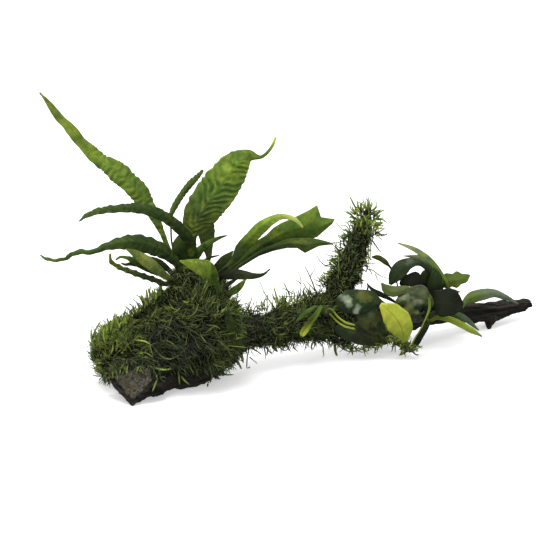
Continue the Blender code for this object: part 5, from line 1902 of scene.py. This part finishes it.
UNDER_REEDS = """
4.2 .1 226 347 227 356 230 364.5|2.6 .35 231 348 237 360 240 366 241.8 369.5
3.4 .3 240 347 241.8 356 243.4 363.5|1.3 2 249.5 348 247.3 357 246.8 366 246.8 371
1.1 2 246.8 368 249 370 251 372|1.4 .3 243 346 245 350 246.8 354|1.1 .8 249.5 357 253 360 257 363
1.6 .6 249.5 347 256 350.5 262.3 355|1.1 .5 264 345 268 350.5 271.8 354
1.8 .7 268 349 267.5 352 266.8 355.5|3.6 .15 272.5 346 275 349 278 352
1.4 .6 279 347 284 350.5 288.6 349.3|1.1 .2 292.3 343 295 349 298.6 352
2 .4 314.5 340 311.4 346 312.3 350.8|1.2 .3 318 341 322.7 346 323.2 352 324 355 322.3 357
2.8 .3 334.5 340 335 349 336.4 354.5 337.9 357|1.3 .3 333 340 331 344.5 328.6 348
1.4 .8 336 343.5 344 349.5 351.5 351.7 360 350 367 347.4 375.5 345.3 380 343.5
2.2 .6 351.3 347 352 351.5 352.9 355.6|1.3 2 375.5 347 374.8 352 374.5 357
1.3 .6 381 340 382 345 381.3 350|1.2 .6 356 349 361 352 366 351.5|1.3 .7 368 350 371 344 376 341
1.2 .6 345 346 349 343 354 349|1.4 .5 362 347 366 351 371 349.5|1.2 .7 376 350 379 346 384 345
"""
LOW_ROOTS = """
2.4 .35 377 334 384 338.5 393.5 341.5 402 343.5|1.3 .6 390 341 395 338 399 336.5
1.3 .7 391.5 347 396 343 401 341.5|1.5 .5 394 342 393 347 391.3 352.5
2 .7 403 339.5 404.5 348 402 352 398.7 356|2.2 .8 405 344.5 409 345.5 413 344.5
2.6 .2 408 349.5 404 353 399.5 355.5|1.6 .3 412 351 415.5 354.3 420 354.8
1.5 .3 416 345.5 419 347 422.5 348.6|1.6 .8 398 337 401 342 400 347|1.4 .7 404 343 408 340 411 336
1.4 .6 395 344 400 347 404 351|1.5 .8 400 349 406 350 412 346|1.2 .6 385 338 388 343 387 347
1.3 .7 396 341 394 336 396 332|1.3 .6 410 350 414 347 418 346|1.5 .5 384 339 390 336 397 339
1.2 .5 407 352 412 349 416 352
"""
STAR = """
1.9 .9 356.6 210 352.4 201.6 349.7 196.3|1.5 .9 357.6 208 357.6 203 356.6 199.5
1.7 .9 366 212 365.5 206 365 199.5|1.9 .9 367 211 367.6 203.7 368.7 196.3
1.5 .9 369 211 369.5 204 370.3 197.4|1.4 .9 370.8 210 371 205 372.6 199.5
1.6 .8 370 216 374.5 209.5 378.2 205.3|2.2 .9 373 218 379.7 212 385.5 209.5
3.2 .7 370 223 376 219 381 214|1.3 .9 352.5 216 347 212.6 342.9 210.5
1.3 .8 354 217 350 213.5 346 211.6|1.4 .3 354 221 348.7 221.5 347.6 224
1.4 .8 375 224.5 379.7 228.5 386 228.4|1.3 .6 375.5 232 378.7 236.3 383.4 241.6
1.2 .8 374 227 379 223 382.4 217.9|1.2 .7 375 231 379 234 383 237.4
1.6 .1 372 240 376.6 246.8 382 254|1.4 .8 360 211 361 205 363.5 201
1.6 .8 363 212 360.5 206 360 202|1.4 .9 372 214 375.5 211 380 210
1.5 .8 373 221 378 222.5 383.5 222|1.4 .8 356 214 351 209 350 204|1.5 .8 357 219 352 218 348 217
1.6 .8 373 226 377 228 379.5 232|1.7 .8 366 209 362 204 358 202
"""
COLUMN_ROOTS = """
1.2 .6 368.7 241 368.2 252 368.4 262 367.5 269|1 .8 370.3 240 370.5 252 369.7 266
1 2 371.5 241 371.8 246|1.5 .15 361.5 270 361 280 361.8 289.5|1.3 2 366.5 262 367 268 365.5 274
.9 2 369 263 373 263.3 377.6 263.7|1.1 .8 345.5 272 355 272.3 365 271
1.2 .8 367 269 373 270.5 379.7 275.3 390.3 279.5|1 .5 370 270.5 371.5 273 372.4 276.5
1.1 .7 375.5 274 377 278.5 379.5 281.5|1.8 .2 367.5 290 368 286 367.6 282
1.1 .5 356 284 360 281.5 364 283|1.1 .8 357 262 363 260 369 261|1.2 .6 352 290 350 282 352 275
1.2 .7 345 287 343.5 278 342.5 271|1.1 .8 338.5 277 338.8 266 338 252
1.1 .6 348 265 349.5 255 349 246
"""
MOUND_REEDS = """
2.2 .8 96 352 91.5 340 91.3 326.5|2.1 .8 92.6 338 95.5 329.7 101.3 320
2.2 .9 111.5 330 113 322 115 311.6|2 .9 98 366 93 352 92.5 341|1.8 .9 101 350 99 340 100.5 329
1.8 .8 106 346 103.5 336 104.5 327|1.9 .9 121 330 117.6 322 115 312.5
1.4 .8 109 334 108 330 107.6 326|1.5 .8 122.5 326 121.8 322 119.5 317
1.4 .8 126.5 324 126.5 321 125.3 317.8|2.2 .8 131.6 320 131.3 314 131.3 308
1.8 .8 138 315 136 312 134 309.5|2 .8 139.5 309 138 305 136 301|1.7 .8 143 303 142 298.5 140.8 294
2.6 .7 147.5 301 147 295 146 288.5|2.6 .7 152.5 300 152.6 294 152.4 289
1.8 .7 150 301 149.7 295 149.2 289.5|2 .7 153 304 158.5 296 161.8 288.6
1.8 .7 159 300 161 295 163.6 289.6|2 .6 158 299 163 293 168.4 286.5|1.5 .8 102 376 97 376 92.4 375
1.8 .7 102.5 376 105 383 106.6 389|1.4 .8 106 376 107.6 379 108.7 382.6
1.4 .7 101 371 98 371.5 94.3 370.6|2 .6 209 384 213 390 216 396
2.2 .4 219 378 226 380.5 234.5 382.6|2.4 .2 191 388 196 389.5 201 392
3 .15 217 370 220 368.5 224.5 366.5|2.6 .15 227 356 228.5 360 230.5 365
2 .8 120.5 331 128 329.5 136.8 327.4|2 .85 132 340 144 341.3 151.5 345.2
1.7 .5 145.5 317 155 316 165 317.5|1.7 .5 150 323 159 326 168.4 329.8
2.2 .4 150 320 156 321.5 163 320.3|1.8 .5 152 345 158.7 354 169.2 359.3 182.6 353.2
2.4 .85 154.3 368 163 369.9 173.6 368.6|1.6 .3 179 345 183 349 186.3 354.3
1.9 .5 185.5 358 190 367 194.2 375|2 .85 178.5 373 179 379 179.7 385
2.2 .85 180.5 375.5 184.5 380.5 189 384.3|1.6 .5 212.6 374 212 378 210.3 382
2.2 .5 157.8 378 155 385 152.2 392.3|2 .6 133.2 359 134 368 137.8 375.5
1.6 .7 128.4 364 127 369 127 374.5|1.6 .7 121.5 364 120.5 369 119.7 373.6
1.6 .5 201.5 293 205 286 208.4 280|1.6 .6 202.7 296 206 289 210.5 282
1.5 .5 191 303 193.5 298 196.8 292.5|1.8 .8 220.5 312.3 224 309.5 228.5 306.4
1.4 .6 210 316 215 315.5 221 313.8|1.7 .8 205.8 325 215.5 326.3 220.6 329.4
1.6 .8 213 327 216.6 335 221 338|1.5 .5 210 304.5 214 302.8 219 302.2
1.8 .6 116 352 117.5 345 115 338|1.8 .8 110 356 113 348 112 340|1.6 .8 102 362 106 354 104 346
1.8 .7 124 352 127 346 131 342|1.6 .8 97 358 100 352 99 345|1.7 .8 106 366 111 361 116 359
1.7 .6 140 352 147 353.5 154 358|1.6 .5 165 340 173 344 179 351|1.6 .4 170 363 177 366 181 372
1.6 .4 196 340 203 345 207 353|1.5 .4 190 318 196 311 199 303|1.6 .5 205 312 211 305 216 297
1.4 2 217 303 221 297 224 291|1.1 2 236.5 306 237 298 239 290|1.2 2 224 301 229 297 233 292.5
"""


def drawn(width, light, places, depth, lean, chance):
    """One strand through places of the drawing, with one side shoot, or more if it is lit."""
    knots = np.arange(len(places))
    row = np.linspace(0, len(places) - 1, (len(places) - 1) * 3 + 1)
    across, down = smooth_through(knots, places, row).T
    share = np.linspace(0, 1, len(row))
    path = seen(across, down, depth + lean * share**1.5)
    path[:, 2] = np.maximum(path[:, 2], width * MM / 2)
    parts = [tapered_tube(path, width / 2 * MM * (1 - 0.6 * share**3), 4, 0.85, share)]
    spacing = 3 if LIT_STRAND < light < BROWN_ROOT else len(row)
    for spot in range(2, len(row) - 1, spacing):
        out = unit(chance.normal(size=3)) * 1.2 + unit(path[spot + 1] - path[spot]) * 1.4
        tip = path[spot] + out * MM * chance.uniform(0.8, 1.6)
        bend = (path[spot] + tip) / 2 + (0, 0, 0.2 * MM)
        thin = np.array((0.45, 0.4, 0.0)) * MM
        parts.append(tapered_tube([path[spot], bend, tip], thin, share=np.array((0.5, 0.8, 1.0))))
    return merged(parts)


def strand_piece(name, strands, *nodes):
    """One piece of many strands, given as (points, faces, share) with light and chance."""
    points, faces, along = merged([shape for shape, _, _ in strands])
    sizes = [len(shape[0]) for shape, _, _ in strands]
    light = np.repeat([light for _, light, _ in strands], sizes)
    chance = np.repeat([chance for _, _, chance in strands], sizes)
    mesh = mesh_from(name, points, faces, {"along": along, "light": light, "chance": chance})
    lift_off_ground(mesh)
    print(name, triangles_of(mesh), "triangles")
    return add_piece(name, mesh, STRAND, "moss", *nodes)


def drawn_strands(table, seed, depth_and_lean, dullest=0.2):
    """The strands of a table, each with its depth and lean from its places or by chance."""
    chance = np.random.default_rng(seed)
    made = []
    for width, light, *places in entries(table):
        places = np.array(places).reshape(-1, 2)
        shape = drawn(width, light, places, *depth_and_lean(places, chance), chance)
        if light > BROWN_ROOT:
            made.append((shape, *BROWN_LOOK))
        else:
            made.append((shape, light, chance.uniform(dullest, 0.9)))
    return made


def loose(depth_at, sway):
    """Depth as the place across says, give or take 2 mm, and a chance lean."""
    return lambda places, chance: (
        depth_at(places[0][0]) + chance.uniform(-2, 2), chance.uniform(-sway, sway))


# %% [markdown]
# Between the drawn strands the outline is filled by fringes: many short strands rooted
# along an edge of the drawing, all leaning about the same way.

# %% Fringes
# Each row: the depths at the edge's ends, direction and spread in degrees, how many, the
# shortest and longest, width, painted light, and then the places of the edge
FRINGES = {
    "moss_branch_reeds": """
        50 68 90 40 40 5 14 1.05 0.9 246 314 262 312 276 308 286 303
        66 78 80 70 46 7 18 1.05 0.95 276 311 288 307 300 304
        78 90 115 45 34 6 14 1.05 0.75 300 303 312 298 322 290 328 282
        53 92 -85 50 36 4 10 1 0.5 246 347 262 349 275 345 290 342 305 341 334 340
        45 52 60 50 26 3 7 1 0.35 232 303 242 313 250 314""",
    "moss_upright_reeds": """
        93 90 160 40 80 5 12 1.25 0.85 329 284 335 269 340 255 344 243 351 231
        92 90 -25 55 40 3 7 1 0.35 357 284 361 270 367 258 368 244 372 233
        89 88 145 35 12 7 14 1.6 1.2 356 225 358 215 361 211
        88 88 92 28 12 8 16 1.7 1.3 360 213 371 213
        81 80 90 60 26 7 13 1.6 1.1 358 227 372 226
        80 80 90 75 18 5 10 1.4 0.7 356 236 374 235
        88 88 20 45 18 6 13 1.5 1.1 372 213 375 224 374 237""",
    "moss_mound_reeds": """
        15 12 92 38 170 5 14 1.6 1.2 97 342 104 334 115 331 131 321 140 313 150 304 163 293
        10 16 130 50 64 3 9 1.2 0.9 102 376 98 360 97 344
        -10 -26 -120 40 18 3 8 1.1 0.6 101 374 112 382
        12 40 45 45 44 4 8 1 0.3 221 294 232 304 241 314
        22 36 -55 45 46 3 8 1.5 0.3 207 383 217 374 226 360 237 351
        -22 -6 -75 45 50 4 10 1.1 0.35 150 364 165 366 185 367 206 368
        2 -18 190 60 36 3 8 1.1 0.5 104 354 101 362 103 371""",
    "moss_face_fringe": """
        -37 -39 -88 35 26 4 13 0.95 0.55 110 370 122 368 135 366 149 365
        -33 -36 -95 50 14 3 8 1 0.5 104 371 112 375
        -38 -34 -65 35 16 4 9 1 0.3 148 365 156 372 160 378
        -30 -31 -70 70 80 5 11 1 0.3 108 363 122 360 135 359 150 358""",
}
TUFT_WIDTH = 13.0
# How far the roots of a fringe are scattered in depth, in millimetres
FRINGE_SCATTER = {
    "moss_branch_reeds": 4.0, "moss_upright_reeds": 3.5, "moss_mound_reeds": 10.0,
    "moss_face_fringe": 2.5}


def fringe(row, scatter, chance):
    """Short strands rooted along an edge, as one row of a table says."""
    near, far, direction, spread, count, shortest, longest, width, light, *edge = row
    edge = np.array(edge).reshape(-1, 2)
    steps = travelled_along(edge)
    made = []
    for _ in range(int(count)):
        share = chance.uniform()
        root = np.array([np.interp(share * steps[-1], steps, edge[:, c]) for c in (0, 1)])
        root = root + chance.normal(0, 1.0, 2)
        angle = math.radians(direction + chance.normal(0, spread * 0.6))
        ahead = np.array((math.cos(angle), -math.sin(angle)))
        sideways = np.array((-ahead[1], ahead[0])) * chance.normal(0, 0.18)
        tuft = math.sin(math.pi * share * steps[-1] / TUFT_WIDTH) ** 2
        length = chance.uniform(shortest, longest) * (0.65 + 0.6 * tuft)
        places = root + np.array([
            ahead * 0, (ahead * 0.5 + sideways) * length, (ahead + sideways * 0.5) * length])
        depth = near + (far - near) * share + chance.normal(0, scatter)
        thick = width * chance.uniform(0.7, 1.3)
        lit = np.clip(light * chance.uniform(0.4, 1.3), 0, 1)
        shape = drawn(thick, lit, places, depth, chance.uniform(-4, 4), chance)
        made.append((shape, lit, chance.uniform(0.0, 0.97)))
    return made


DRAWN = {
    "moss_branch_reeds": [
        (BRANCH_REEDS, lambda x: 50 + (x - 245) * 0.45),
        (UNDER_REEDS, lambda x: 44 + (x - 226) * 0.36)],
    "moss_upright_reeds": [(STAR, lambda x: 88), (COLUMN_ROOTS, lambda x: 82)],
}
for seed, (name, table) in enumerate(FRINGES.items()):
    chance = np.random.default_rng(seed + 200)
    strands = sum((fringe(row, FRINGE_SCATTER[name], chance) for row in entries(table)), [])
    for drawing, depth_at in DRAWN.get(name, []):
        strands += drawn_strands(drawing, seed + 300, loose(depth_at, 4))
    moss_pieces.append(strand_piece(name, strands))

# %% [markdown]
# The mound's own drawn strands lie on its front, so each is pressed onto the surface the
# viewer sees there. Under the second plant hangs a loose tangle of roots and moss ends.

# %% Strands on the front and the roots
FRONT_TREES = [tree_of(thing) for thing in (mats["moss_mound"], stump)]


def front_depth(x, y, missing):
    """How deep the first surface lies behind a place of the drawing."""
    eye = Vector((EYE - ORIGIN) * MM)
    line = Vector(sight_lines(x, y)).normalized()
    hits = [tree.ray_cast(eye, line)[0] for tree in FRONT_TREES]
    depths = [place.y / MM + ORIGIN[1] for place in hits if place is not None]
    return min(depths, default=missing)


def pressed(places, _):
    """Depth and lean that lay a strand from its root to its tip on the surface there."""
    missing = 14.0 if places[0][0] < 200 else 36.0
    depth = front_depth(*places[0], missing) - 3.0
    lean = front_depth(*places[-1], depth + 5.0) - 4.0 - depth
    return depth, float(np.clip(lean, -20, 10))


moss_pieces.append(strand_piece(
    "moss_mound_front_strands", drawn_strands(MOUND_REEDS, 500, pressed, 0.3)))

LOW_EDGES = """
80 80 -60 60 30 4 10 1 0.8 335 342 350 347 365 347 382 343
80 80 20 50 24 6 13 1 0.7 336 344 352 349 366 347 380 344
79 78 -70 70 40 4 9 1.1 0.8 386 339 396 341 406 346 416 346
78 76 40 80 34 4 9 1.1 0.9 392 342 402 346 412 349 420 349
86 82 -20 120 110 4 9 1.3 0.15 326 336 336 340 348 343
"""
LOW_SCATTER = 3.0
roots = drawn_strands(LOW_ROOTS, 320, loose(lambda x: 79, 3))
for seed, row in enumerate(entries(LOW_EDGES)):
    roots += fringe(row, LOW_SCATTER, np.random.default_rng(seed + 400))
moss_pieces.append(strand_piece("moss_low_tangle", roots, "moss_under_leaves"))
print("moss in all", sum(triangles_of(p.data) for p in moss_pieces))

# %% [markdown]
# ## The end
# The last line brings the view layer up to date. The dressed plant has to stay inside
# the solids' box, apart from a little moss.

# %% The end
bpy.context.view_layer.update()
